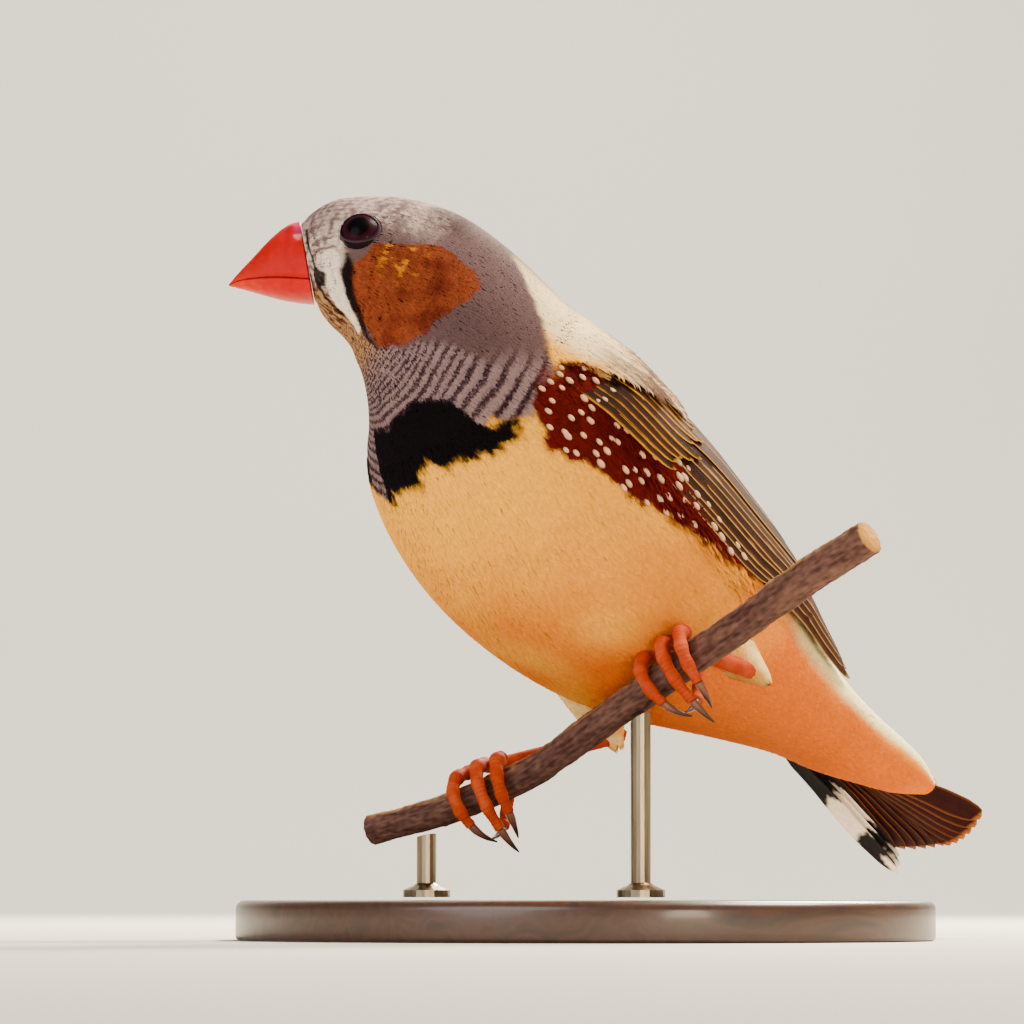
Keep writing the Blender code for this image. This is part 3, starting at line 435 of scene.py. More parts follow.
def drawn_line(colour, ink, line, place, side, thickness, soft):
    """A colour with a line drawn over it, as thick as a function of the share along it says."""
    distance, share = to_line(line, place, side)
    thick = thickness(share)
    return mix(colour, ink, smooth(thick + soft[0], thick - soft[1], distance) * soft[2])


def throat_bars(colour, place, side, even_place, even_side, points, edge):
    """Fine bars of chin, throat and neck sides."""
    fade = 0.15 + 0.75 * smooth(125.0, 105.0, side)
    barred = smooth(-0.05, fade, place - line_value(BARS_TOP, side)) * smooth(0.08, -0.08, place - edge)
    barred = barred * smooth(80.0, 88.0, side)
    slant = np.where(even_side < 138.0, 0.012, 0.006) * (even_side - 138.0)
    count = line_value(BAR_COUNT, even_place - slant + 0.03 * noise(points, 3.0))
    thin = 0.25 + 0.3 * smooth(130.0, 95.0, side)
    bar = smooth(thin - 0.35, thin + 0.2, np.sin(count * 2.0 * math.pi))
    pale = mix(CHIN, BAR_PALE, smooth(5.0, 6.8, place))
    dark = mix(CHIN_DARK, BAR_DARK, smooth(5.0, 6.8, place))
    return mix(colour, mix(pale, dark, bar), barred * (0.6 + 0.35 * smooth(84.0, 105.0, side)))


def cheek_colour(colour, place, side, points):
    """Brick cheek with golden flecks near its top: painted highlights."""
    warm = mix(CHEEK, CHEEK_DARK, smooth(-0.2, 1.0, noise(points, 2.4)) * 0.85)
    warm = warm * (1.0 + 0.16 * noise(points, 0.3))[..., None]
    # golden flecks on the upper cheek: painted highlights
    golden_highlight = smooth(0.3, 0.9, noise(points + 7.0, 0.6)) * smooth(112.0, 92.0, side)
    golden_highlight = golden_highlight * band(place, 3.9, 4.6, 5.5, 6.1)
    warm = mix(warm, CHEEK_GOLD_HIGHLIGHT, golden_highlight * 0.75)
    return mix(colour, warm, inside(CHEEK_OUTLINE, place, side).astype(float))


def face_lines(colour, place, side):
    """White band, black line at the bill and black tear line."""

    def white_thickness(share):
        return 1.0 - 0.45 * smooth(0.55, 1.0, share)

    def bill_thickness(share):
        return 0.24 + 0.9 * band(share, 0.4, 0.5, 0.58, 0.68)

    def tear_thickness(share):
        return 0.12 + 0.5 * band(share, 0.02, 0.2, 0.45, 0.95)

    for ink, line, thickness, soft in (
        (WHITE, WHITE_LINE, white_thickness, (0.12, 0.18, 0.95)),
        (BLACK, BILL_LINE, bill_thickness, (0.15, 0.15, 0.95)),
        (BLACK, TEAR_LINE, tear_thickness, (0.2, 0.2, 0.97)),
    ):
        colour = drawn_line(colour, ink, line, place, side, thickness, soft)
    return colour


def marking(even_place, degrees, points):
    """Linear colour of the plumage at a place, with its painted rim light, highlights and warm light."""
    turned = degrees % 360.0
    even_side = np.minimum(turned, 360.0 - turned)
    place = even_place + 0.05 * noise(points, 1.6)
    side = even_side + 0.8 * noise(points, 1.1)
    fine = noise(points, 0.7)
    edge = line_value(HOOD_EDGE, side)
    edge = edge + (9.95 - edge) * band(turned, 194.0, 201.0, 213.0, 226.0)
    hood = hood_colour(place, side, points)
    colour = mix(hood, trunk_colour(place, side, points), smooth(-0.1, 0.1, place - edge))
    colour = throat_bars(colour, place, side, even_place, even_side, points, edge)
    # the bib stands lower on the right of the throat, where the head's turn folds it
    bib_top = line_value(BIB_TOP, side) + 1.9 * band(turned, 194.0, 203.0, 211.0, 224.0)
    bib_bottom = line_value(BIB_BOTTOM, side) + 0.35 * bell(turned, 196.0, 12.0) + 0.05 * fine
    bib = smooth(-0.08, 0.08, place - bib_top) * smooth(0.1, -0.1, place - bib_bottom)
    colour = mix(colour, BLACK, bib * smooth(116.0, 122.0, side))
    colour = cheek_colour(colour, place, side, points)
    colour = face_lines(colour, place, side)
    # chestnut flank, which has its white spots from make_flank_spots
    upper = line_value(FLANK_TOP, place)
    under = line_value(FLANK_BOTTOM, place)
    flank = smooth(-1.5, 0.5, side - upper) * smooth(1.6, -1.6, side - under - 0.5 * fine)
    flank = flank * band(place, 9.2, 9.5, 15.4, 16.0)
    colour = mix(colour, CHESTNUT * (1.0 + 0.2 * fine[..., None]), flank)
    return np.clip(colour, 0.0, 1.0)


# Meshes from arrays

def make_object(name, points, faces, material):
    """An object from points in millimetres and an array of triangles or of quads."""
    points = np.asarray(points, float)
    faces = np.asarray(faces, np.int32)
    corners = points[faces] - points.mean(0)
    volume = np.einsum("ij,ij->i", corners[:, 0], np.cross(corners[:, 1], corners[:, 2])).sum()
    if volume < 0.0:
        faces = np.ascontiguousarray(faces[:, ::-1])
    sides = faces.shape[1]
    mesh = bpy.data.meshes.new(name)
    mesh.vertices.add(len(points))
    mesh.vertices.foreach_set("co", (np.asarray(points, np.float32) * 0.001).ravel())
    mesh.loops.add(faces.size)
    mesh.loops.foreach_set("vertex_index", faces.ravel())
    mesh.polygons.add(len(faces))
    mesh.polygons.foreach_set("loop_start", np.arange(0, faces.size, sides, dtype=np.int32))
    mesh.polygons.foreach_set("loop_total", np.full(len(faces), sides, np.int32))
    mesh.polygons.foreach_set("use_smooth", np.ones(len(faces), bool))
    mesh.update(calc_edges=True)
    mesh.validate()
    mesh.materials.append(material)
    made = bpy.data.objects.new(name, mesh)
    bpy.context.scene.collection.objects.link(made)
    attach(made, "root")
    return made


def add_piece(name, points, faces, material, colours, slot, replaced=()):
    """A painted piece of the part; it may stand for nodes of the part. The slot given is not used."""
    made = make_object(name, points, faces, material)
    paint(made, np.clip(colours, 0.0, 1.0))
    if replaced:
        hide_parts(*replaced)
    return made


def paint(made, colours, name="Col"):
    colours = np.asarray(colours, np.float32)
    full = np.ones((len(colours), 4), np.float32)
    full[:, :3] = colours
    layer = made.data.color_attributes.new(name, "FLOAT_COLOR", "POINT")
    layer.data.foreach_set("color", full.ravel())


def lay_uv(made, uv):
    """The UV map from one place for each vertex."""
    layer = made.data.uv_layers.new(name="OFBake")
    corners = np.empty(len(made.data.loops), np.int32)
    made.data.loops.foreach_get("vertex_index", corners)
    layer.data.foreach_set("uv", np.asarray(uv, np.float32)[corners].ravel())


def grid_faces(rows, columns, closed=False):
    """Quads between rows of points, joined round where closed."""
    index = np.arange(rows * columns).reshape(rows, columns)
    right = np.roll(index, -1, axis=1) if closed else index[:, 1:]
    here = index if closed else index[:, :-1]
    return np.stack((here[:-1], right[:-1], right[1:], here[1:]), -1).reshape(-1, 4)


def quads_to_triangles(quads):
    return np.vstack((quads[:, (0, 1, 2)], quads[:, (0, 2, 3)]))


def closed_faces(rows, sides, open_start=False):
    """Triangles over rings of points, with a middle point after them for each closed end."""
    count = rows * sides
    around = np.arange(sides)
    following = np.roll(around, -1)
    last = count - sides
    faces = [quads_to_triangles(grid_faces(rows, sides, closed=True))]
    if not open_start:
        faces.append(np.stack((np.full(sides, count), following, around), -1))
        count += 1
    faces.append(np.stack((np.full(sides, count), around + last, following + last), -1))
    return np.vstack(faces)


def close_rings(rings, start=None, end=None):
    """Points and triangles of rings closed by their own middles or by given points."""
    start = rings[0].mean(0) if start is None else start
    end = rings[-1].mean(0) if end is None else end
    return np.vstack((rings.reshape(-1, 3), start, end)), closed_faces(*rings.shape[:2])


def tube(line, radii, sides, bumps=0.0):
    """Points and triangles of a closed tube along a line; bumps adds to the radius by row and side."""
    line = np.asarray(line, float)
    tangent = unit(np.gradient(line, axis=0))
    side = np.cross(tangent[0], (0.0, 0.0, 1.0))
    if np.linalg.norm(side) < 1e-3:
        side = np.array((1.0, 0.0, 0.0))
    across = []
    for direction in tangent:
        side = unit(side - direction * (side @ direction))
        across.append(side)
    across = np.array(across)
    other = np.cross(tangent, across)
    angle = turns(sides)[None, :, None]
    radius = np.asarray(radii, float)[:, None] + np.zeros(sides) + bumps
    ring = across[:, None] * np.cos(angle) + other[:, None] * np.sin(angle)
    return close_rings(line[:, None] + ring * radius[..., None], line[0], line[-1])


def along_table(rows, count):
    """A table's rows made finer: count smooth rows from its first to its last."""
    return spline(rows, np.linspace(0.0, len(rows) - 1.0, count))


def along_values(values, count):
    return along_table(np.asarray(values, float)[:, None], count)[:, 0]


def run_length(line):
    """Length along a line up to each of its points."""
    return np.concatenate(([0.0], np.cumsum(np.linalg.norm(np.diff(line, axis=0), axis=1))))


def join(shapes):
    """One set of points and faces from several."""
    points = []
    faces = []
    count = 0
    for shape_points, shape_faces in shapes:
        points.append(shape_points)
        faces.append(shape_faces + count)
        count += len(shape_points)
    return np.vstack(points), np.vstack(faces)


# Materials

BARB_WAVES = 480.0


class Finish:
    """A material being made: its nodes, their links and its shader."""

    def __init__(self, name, roughness, **values):
        self.material = bpy.data.materials.new(name)
        self.material.use_nodes = True
        self.nodes = self.material.node_tree.nodes
        self.links = self.material.node_tree.links
        self.shader = self.nodes["Principled BSDF"]
        self.shader.inputs["Roughness"].default_value = roughness
        for key, value in values.items():
            self.shader.inputs[key.replace("_", " ")].default_value = value

    def add(self, kind, sockets, output, **settings):
        """Output of a new node whose sockets are set to values or linked to other outputs."""
        node = self.nodes.new("ShaderNode" + kind)
        for key, value in settings.items():
            setattr(node, key, value)
        for key, value in sockets.items():
            if isinstance(value, bpy.types.NodeSocket):
                self.links.new(value, node.inputs[key])
            else:
                node.inputs[key].default_value = value
        return node.outputs[output]

    def layer(self, name="Col"):
        return self.add("VertexColor", {}, "Color", layer_name=name)

    def red(self, colour):
        return self.add("SeparateColor", {"Color": colour}, "Red")

    def maths(self, operation, *values):
        return self.add("Math", dict(enumerate(values)), "Value", operation=operation)

    def noise(self, scale, detail, distortion=0.0, stretch=(1.0, 1.0, 1.0)):
        place = self.add("TexCoord", {}, "Object")
        place = self.add("Mapping", {"Vector": place, "Scale": stretch}, "Vector")
        sockets = {"Vector": place, "Scale": scale, "Detail": detail, "Distortion": distortion}
        return self.add("TexNoise", sockets, "Fac")

    def vary(self, colour, factor, span):
        """A colour made darker and lighter by a value of 0 to 1."""
        factor = self.add("MapRange", {"Value": factor, "To Min": 1.0 - span, "To Max": 1.0 + span}, "Result")
        return self.add("VectorMath", {0: colour, "Scale": factor}, "Vector", operation="SCALE")

    def ramp(self, factor, stops):
        ramp = self.nodes.new("ShaderNodeValToRGB")
        self.links.new(factor, ramp.inputs["Fac"])
        while len(ramp.color_ramp.elements) < len(stops):
            ramp.color_ramp.elements.new(0.5)
        for element, (position, colour) in zip(ramp.color_ramp.elements, stops):
            element.position = position
            element.color = (*colour, 1.0)
        return ramp.outputs["Color"]

    def done(self, colour, height=None, strength=0.0, distance=0.0):
        """The material with its colour, and its bump where there is a height."""
        self.links.new(colour, self.shader.inputs["Base Color"])
        if height:
            sockets = {"Height": height, "Strength": strength, "Distance": distance}
            self.links.new(self.add("Bump", sockets, "Normal"), self.shader.inputs["Normal"])
        return self.material


def vane_material():
    """Finish of a flight feather: painted colour, with barbs slanting from the shaft."""
    finish = Finish("vanes", 0.75, Specular_IOR_Level=0.06)
    wave = finish.maths("SINE", finish.maths("MULTIPLY", finish.red(finish.layer("Barb")), BARB_WAVES))
    grain = finish.maths("MULTIPLY_ADD", wave, 0.2, finish.noise(1400.0, 3.0))
    return finish.done(finish.vary(finish.layer(), grain, 0.2), grain, 0.5, 0.00008)


def painted_material(name, roughness, scale, detail, span, strength, distance, **values):
    """Finish that shows the painted colour, broken up by a fine grain with a bump."""
    finish = Finish(name, roughness, **values)
    grain = finish.noise(scale, detail)
    return finish.done(finish.vary(finish.layer(), grain, span), grain, strength, distance)


def grained_material(name, roughness, grain, stops, strength, distance, **values):
    """Finish that wanders between the colours of its stops, with a bump of the same grain."""
    finish = Finish(name, roughness, **values)
    grain = finish.noise(*grain)
    return finish.done(finish.ramp(grain, stops), grain, strength, distance)


down = painted_material("down", 0.8, 2600.0, 4.0, 0.12, 0.25, 0.0001, Specular_IOR_Level=0.04)
vanes_finish = vane_material()
horn = painted_material(
    "bill_horn", 0.42, 900.0, 5.0, 0.12, 0.12, 0.0001, Specular_IOR_Level=0.1,
    Subsurface_Weight=0.05, Subsurface_Scale=0.001, Subsurface_Radius=(1.0, 0.35, 0.2),
)
leg_finish = painted_material("leg_scales", 0.65, 2200.0, 6.0, 0.25, 0.3, 0.0001, Specular_IOR_Level=0.08)
claw_finish = painted_material("claw_horn", 0.35, 1500.0, 6.0, 0.25, 0.2, 0.0001, Specular_IOR_Level=0.3)
bark = painted_material("bark", 0.85, 1800.0, 6.0, 0.25, 0.7, 0.0003, Specular_IOR_Level=0.1)
lid_finish = painted_material("eyelid", 0.6, 3000.0, 6.0, 0.25, 0.5, 0.0001, Specular_IOR_Level=0.1)


# Skin

def skin_shape(rows=240, columns=160):
    """Points and triangles of the skin, and the place and degrees of each point."""
    place, degrees = grid(np.linspace(0.0, LAST_RING, rows), np.degrees(turns(columns)) - 180.0)
    points, normals = body_point(place, degrees)
    depth = SKIN_DEPTH * smooth(0.0, 1.5, place) + 0.12
    depth = depth + EYE_HOLLOW * smooth(2.3, 1.2, eye_distance(points))
    depth = depth + 0.8 * smooth(LAST_RING - 1.0, LAST_RING, place)
    points, faces = close_rings(points - normals * depth[..., None])
    place = np.append(place.ravel(), (0.0, LAST_RING))
    degrees = np.append(degrees.ravel(), (0.0, 0.0))
    return points, faces, place, degrees


THIGH_RADII = (3.6, 3.5, 3.0, 2.4, 1.35)
THIGH_DEPTH = 0.5
THIGH_END = 1.3
# The skin is painted darker than the coat: painted shade in the gaps between feathers
SKIN_PAINTED_SHADE = 0.8


def thigh_shape(word, rows=14, sides=20):
    knee, heel = raised(KNEE[word]), raised(HEEL[word])
    share = np.linspace(-0.1, 0.92, rows)[:, None]
    return tube(knee + (heel - knee) * share, along_values(THIGH_RADII, rows) - THIGH_DEPTH, sides)


def make_skin():
    points, faces, place, degrees = skin_shape()
    colours = marking(place, degrees, points)
    shapes = [(points, faces)]
    for word in SIDES:
        shapes.append(thigh_shape(word))
        colours = np.vstack((colours, np.ones((len(shapes[-1][0]), 1)) * BELLY))
    replaced = ("head", "neck", "torso", "rump", "thigh_left", "thigh_right")
    # darker skin: painted shade between the feathers
    add_piece("skin", *join(shapes), down, colours * SKIN_PAINTED_SHADE, "plumage_cream", replaced)


make_skin()


# Coat of small feathers: each is a tuft of narrow blades that lie along the body

WING_FIELD = (11.3, 16.0)
WING_FIELD_TOP = ((11.0, 50.0), (12.0, 40.0), (13.0, 30.0), (14.0, 22.0), (15.0, 30.0), (16.0, 44.0))
WING_FIELD_LOW = ((11.0, 76.0), (12.0, 76.0), (13.0, 74.0), (14.0, 70.0), (15.0, 66.0), (16.0, 58.0))
SOW_STEP = 5.0
END_GAP = 0.05
TUFT_BLADES = 3
TUFT_WILDNESS = 0.12
ROOT_DEPTH = 0.42
LID_CLEAR = 1.88
LID_NEAR = 2.0
MAP_MARGIN = 0.0075
MAP_PATCH = (0.00075, 0.0015)


def sow(first, last, row_gap, column_gap):
    """Roots scattered evenly over the body between two places."""
    places = []
    degrees = []
    place = first
    row = 0
    ring = np.arange(-180.0, 180.0, SOW_STEP)
    while place < last:
        rates = place_rate(np.full(ring.shape, place), ring)
        fastest = rates.max()
        circumference = around_rate(np.full(ring.shape, place), ring).sum() * SOW_STEP
        count = max(8, int(circumference / column_gap))
        angle = (np.arange(count) + 0.5 * (row % 2)) / count * 360.0 - 180.0
        angle = angle + rng.uniform(-0.45, 0.45, count) * 360.0 / count
        step = row_gap / fastest
        here = place + rng.uniform(-0.5, 0.5, count) * step
        kept = rng.uniform(size=count) < np.interp(angle, ring, rates, period=360.0) / fastest
        places.append(here[kept])
        degrees.append(angle[kept])
        place += step
        row += 1
    places = np.concatenate(places)
    degrees = np.concatenate(degrees)
    side = np.abs(degrees)
    hidden = (places > WING_FIELD[0]) & (places < WING_FIELD[1])
    hidden &= (side > line_value(WING_FIELD_TOP, places)) & (side < line_value(WING_FIELD_LOW, places))
    shown = ~hidden & (places > END_GAP) & (places < LAST_RING - END_GAP)
    return places[shown], degrees[shown]


def map_place(degrees, share):
    """Place of a root on the unwrapped skin: once round it, and from the bill to the tail."""
    return np.stack((degrees / 360.0 + 0.5, share), -1) * (1.0 - 2.0 * MAP_MARGIN) + MAP_MARGIN


def blade_faces(levels):
    """Triangles of one blade, from its root over rings of three points to its tip."""
    tip = 1 + 3 * levels
    faces = []
    for side in range(3):
        following = (side + 1) % 3
        faces.append((0, 1 + side, 1 + following))
        for low in range(1, tip - 3, 3):
            faces.append((low + side, low + 3 + side, low + 3 + following))
            faces.append((low + side, low + 3 + following, low + following))
        faces.append((tip - 3 + side, tip, tip - 3 + following))
    return np.array(faces)[:, ::-1]


def tuft_shapes(place, degrees, length, width, blade, rise, spread=0.16, base=0.0, surface=None):
    """Blades for every root: points, triangles, shading directions, the place and degrees that colour each
    point, its tone with painted shade towards the blade's root, and its place on the map."""
    surface = surface or (body_point, place_rate, around_rate, LAST_RING)
    surface_point, along_rate, turn_rate, last = surface
    count = len(place)
    every_blade = (count, TUFT_BLADES)
    share = np.linspace(-1.0, 1.0, TUFT_BLADES)
    fan = share * spread + rng.normal(0.0, TUFT_WILDNESS, every_blade)
    size = length[:, None] * (1.0 - 0.16 * np.abs(share)) * rng.uniform(0.82, 1.12, every_blade)
    turn = turn_rate(place, degrees)[:, None]
    run = (size * np.cos(fan) / along_rate(place, degrees)[:, None])[..., None]
    drift = (size * np.sin(fan) / turn)[..., None]
    offset = (share * (width[:, None] * 0.42) / turn)[..., None]
    along = np.array(blade)
    t = np.clip(place[:, None, None] + run * along, 0.0, last)
    a = degrees[:, None, None] + offset + drift * along**1.3
    tip_rise = rise[:, None] * rng.uniform(0.6, 1.3, every_blade)
    lift = (tip_rise[..., None] + ROOT_DEPTH) * along**0.75 - ROOT_DEPTH
    lift = lift - 0.25 * (along > 0.9) + (np.zeros(count) + base)[:, None, None]
    points, normals = surface_point(t, a, lift)
    across = np.cross(normals, unit(np.gradient(points, axis=2)))
    profile = np.interp(along, (0.0, 0.3, 0.75, 1.0), (0.5, 1.0, 0.7, 0.0))
    half = ((width / TUFT_BLADES * 0.75)[:, None, None] * profile)[..., None]

    def rings(middle, sideways, ridge):
        """Root, rings of three and tip of each blade, from the values at its middle line."""
        inner = np.stack((middle + sideways, middle + ridge, middle - sideways), 3)[:, :, 1:-1]
        inner = inner.reshape(*every_blade, -1, 3)
        return np.concatenate((middle[:, :, :1], inner, middle[:, :, -1:]), 2)

    block = rings(points, across * half, normals * half * 0.4)
    facing = unit(rings(normals, across * 0.3, 0.0))
    starts = np.arange(count * TUFT_BLADES) * block.shape[2]
    faces = (starts[:, None, None] + blade_faces(len(blade) - 2)).reshape(-1, 3)
    sample = np.concatenate((along[:1], np.repeat(along[1:-1], 3), along[-1:]))
    reach = 0.18 + 0.8 * sample
    t_paint = place[:, None, None] + run * reach
    a_paint = degrees[:, None, None] + offset + drift * reach
    tone = rng.normal(1.0, 0.04, (count, 1, 1)) * rng.normal(1.0, 0.035, (*every_blade, 1))
    # each blade darker at its root and lighter at its tip: painted shade where blades overlap
    tone = tone * np.interp(sample, (0.0, 0.5, 1.0), (0.88, 0.98, 1.02))
    patch = np.stack(np.broadcast_arrays(share[:, None], sample - 0.5), -1) * MAP_PATCH
    uv = map_place(degrees, place / last)[:, None, None] + patch
    return (
        block.reshape(-1, 3), faces, facing.reshape(-1, 3), t_paint.ravel(), a_paint.ravel(),
        tone.ravel(), uv.reshape(-1, 2),
    )


def add_tufts(name, shapes, colour, slot, replaced=()):
    """A piece of the coat. The body's own directions shade its blades, so that it looks soft."""
    points, faces, facing, t, a, tone, uv = shapes
    made = add_piece(name, points, faces, down, colour(t, a, points) * tone[:, None], slot, replaced)
    made.data.normals_split_custom_set_from_vertices(facing)
    lay_uv(made, uv)


def body_sizes(place, degrees):
    """Length, width, rise and root height of the small feathers over the body."""
    side = np.abs(degrees)
    length = np.interp(
        place,
        (0.0, 1.0, 3.0, 6.0, 8.0, 9.3, 10.2, 12.0, 16.0, 19.0, 22.0),
        (0.5, 0.65, 0.85, 1.1, 1.2, 1.4, 2.0, 2.5, 2.9, 3.2, 2.8),
    )
    width = np.interp(place, (0.0, 3.0, 6.0, 9.0, 14.0, 19.0), (0.28, 0.38, 0.5, 0.62, 0.95, 0.95))
    rise = np.interp(place, (0.0, 3.0, 7.0, 12.0, 19.0), (0.0, 0.05, 0.08, 0.1, 0.12))
    # flank feathers lap over the folded wing's lower edge
    lap = np.interp(place, (9.4, 10.4, 12.0, 14.0, 14.8), (0.0, 0.6, 0.95, 1.0, 0.0))
    base = lap * smooth(101.0, 88.0, side) * smooth(60.0, 78.0, side)
    return length, width, rise, base


def clear_of_eyes(place, degrees, length):
    """Drops roots on an eye and shortens feathers that would lie over one."""
    tip_place = np.clip(place + length / place_rate(place, degrees), 0.0, LAST_RING)
    root = eye_distance(body_point(place, degrees)[0])
    tip = eye_distance(body_point(tip_place, degrees)[0])
    return root > LID_CLEAR, length * np.where(tip < LID_NEAR, 0.45, 1.0)


def coat_piece(name, first, last, row_gap, column_gap, blade, slot, replaced=()):
    place, degrees = sow(first, last, row_gap, column_gap)
    length, width, rise, base = body_sizes(place, degrees)
    kept, length = clear_of_eyes(place, degrees, length)
    place, degrees, length, width, rise, base = (
        values[kept] for values in (place, degrees, length, width, rise, base)
    )
    shapes = tuft_shapes(place, degrees, length, width, blade, rise, base=base)
    add_tufts(name, shapes, marking, slot, replaced)


THIN = 1.0
THIGH_TUFTS = 900
SHOULDER_TUFTS = 3400
SHORT_BLADE = (0.0, 0.45, 1.0)
LONG_BLADE = (0.0, 0.35, 0.75, 1.0)
# Name, first and last place, gap between rows and between the roots of a row, blade, slot, nodes
COAT_PIECES = (
    ("coat_face", 0.0, 3.6, 0.2, 0.24, SHORT_BLADE, "plumage_grey"),
    ("coat_head", 3.6, 6.6, 0.28, 0.32, SHORT_BLADE, "plumage_grey"),
    ("coat_neck", 6.6, 9.0, 0.32, 0.36, SHORT_BLADE, "plumage_grey"),
    ("coat_breast", 9.0, 11.0, 0.42, 0.45, LONG_BLADE, "plumage_cream"),
    ("coat_belly", 11.0, 13.6, 0.5, 0.52, LONG_BLADE, "plumage_cream"),
    ("coat_flank", 13.6, 16.4, 0.5, 0.52, LONG_BLADE, "plumage_cream"),
    ("coat_rump", 16.4, 19.2, 0.45, 0.48, LONG_BLADE, "plumage_cream"),
    ("coat_vent", 19.2, 21.8, 0.4, 0.4, LONG_BLADE, "plumage_cream", ("tail_coverts_under",)),
)
for coat_name, coat_first, coat_last, coat_gap, *coat_rest in COAT_PIECES:
    coat_piece(coat_name, coat_first, coat_last, coat_gap * THIN, *coat_rest)


SPOT_ROW = 0.3
SPOT_COLUMN = 5.4
SPOT_SIDES = 14
SPOT_FIRST = 9.45
SPOT_LAST = 15.7
SPOT_MAP = 0.0015


def spot_places():
    """Places and degrees of the spots, in rows across the flank."""
    places = []
    sides = []
    for row, place in enumerate(np.arange(SPOT_FIRST, SPOT_LAST, SPOT_ROW)):
        upper = line_value(FLANK_TOP, place)
        under = line_value(FLANK_BOTTOM, place)
        count = max(1, int(round((under - upper) / SPOT_COLUMN)))
        for column in range(count):
            share = (column + 0.5 - 0.25 * (row % 2)) / count
            sides.append(upper + (under - upper) * share + rng.normal(0.0, 0.7))
            places.append(place + rng.normal(0.0, 0.07) + 0.1 * (column % 2))
    return np.array(places)[:, None], np.array(sides)[:, None]


def make_flank_spots():
    """The oval white ends of the flank feathers, laid over the chestnut: low domes."""
    ring = np.ones(SPOT_SIDES)
    reach = np.concatenate((0.6 * ring, ring, (0.0, 0.0)))
    turn = np.concatenate((turns(SPOT_SIDES), turns(SPOT_SIDES), (0.0, 0.0)))
    lift = np.concatenate((0.17 * ring, 0.02 * ring, (0.2, -0.3)))
    spot_faces = closed_faces(2, SPOT_SIDES)
    place, side = spot_places()
    for word, hand in SIDES.items():
        degrees = hand * side
        grown = rng.uniform(0.75, 1.15, (len(place), 1))
        half_length = np.interp(place, (9.5, 12.0, 15.5), (0.44, 0.62, 0.85)) * grown
        half_width = np.interp(place, (9.5, 12.0, 15.5), (0.27, 0.33, 0.36)) * grown
        t = place + half_length * reach * np.cos(turn) / place_rate(place, degrees)
        a = degrees + half_width * reach * np.sin(turn) / around_rate(place, degrees)
        points = body_point(t, a, body_sizes(place, degrees)[3] + lift)[0].reshape(-1, 3)
        starts = np.arange(len(place)) * len(reach)
        faces = (starts[:, None, None] + spot_faces).reshape(-1, 3)
        tone = np.repeat(rng.uniform(0.86, 1.02, len(place)), len(reach))
        rim = np.tile(smooth(0.6, 1.1, reach), len(place))
        colours = mix(SPOT, CHESTNUT, 0.7 * rim) * tone[:, None]
        made = add_piece("coat_spots_" + word, points, faces, down, colours, "plumage_cream")
        leaf = np.stack((reach * np.sin(turn), reach * np.cos(turn)), -1) * SPOT_MAP
        lay_uv(made, (map_place(degrees, place / LAST_RING) + leaf).reshape(-1, 2))


make_flank_spots()


def thigh_surface(word):
    """Surface of a thigh: share from knee to heel and degrees round it."""
    knee, heel = raised(KNEE[word]), raised(HEEL[word])
    run = unit(heel - knee)
    across = unit(np.cross(run, (0.0, 1.0, 0.0)))
    other = np.cross(run, across)
    length = np.linalg.norm(heel - knee) * 1.02

    def radius(share):
        return np.interp(share, (0.0, 0.25, 0.5, 0.75, 1.0, THIGH_END), (*THIGH_RADII, 0.2))

    def point(share, degrees, lift=0.0):
        share, degrees = np.broadcast_arrays(share, degrees)
        angle = np.radians(degrees)[..., None]
        normal = across * np.cos(angle) + other * np.sin(angle)
        centre = knee + (heel - knee) * (share * 1.06 - 0.1)[..., None]
        return centre + normal * (radius(share) + lift)[..., None], normal

    def along_rate(share, degrees):
        return np.full(np.shape(share), length)

    def turn_rate(share, degrees):
        return radius(share) * math.pi / 180.0

    return point, along_rate, turn_rate, THIGH_END


def thigh_colour(share, degrees, points):
    return mix(BELLY, RUMP_WHITE, 0.15 + 0.5 * smooth(-0.5, 0.8, noise(points, 1.2)))


def make_thigh_coat(word):
    count = int(THIGH_TUFTS / THIN)
    share = rng.uniform(0.15, 1.02, count)
    degrees = rng.uniform(-180.0, 180.0, count)
    length, width, rise = (np.full(count, value) for value in (1.9, 0.7, 0.12))
    shapes = tuft_shapes(share, degrees, length, width, LONG_BLADE, rise, surface=thigh_surface(word))
    add_tufts("coat_thigh_" + word, shapes, thigh_colour, "plumage_cream")


for thigh_word in SIDES:
    make_thigh_coat(thigh_word)


# Flight feathers and larger coverts: closed vanes with a shaft and slanting barbs

VANE_THICKNESS = 0.12


def vane_grid(surface, rows, columns, half_width, outline):
    """A closed vane: surface(along, across, broad) gives the points and normals of its middle."""
    along, across = grid(np.linspace(0.0, 1.0, rows), np.linspace(-1.0, 1.0, columns))
    points, normals = surface(along, across, np.interp(along, *outline) * half_width)
    half = (VANE_THICKNESS * 0.5 * (1.0 - 0.75 * np.abs(across)) * (1.0 - 0.5 * along))[..., None]
    shaft = (0.05 * bell(across, 0.0, 0.07))[..., None]
    both = np.stack((points + normals * (half + shaft), points - normals * half)).reshape(-1, 3)
    quads = grid_faces(rows, columns)
    count = rows * columns
    index = np.arange(count).reshape(rows, columns)
    border = np.concatenate((index[0, :], index[1:, -1], index[-1, -2::-1], index[-2:0:-1, 0]))
    following = np.roll(border, -1)
    edge = np.stack((following, border, border + count, following + count), -1)
    faces = quads_to_triangles(np.vstack((quads, quads[:, ::-1] + count, edge)))
    return both, faces, np.tile(along.ravel(), 2), np.tile(across.ravel(), 2)


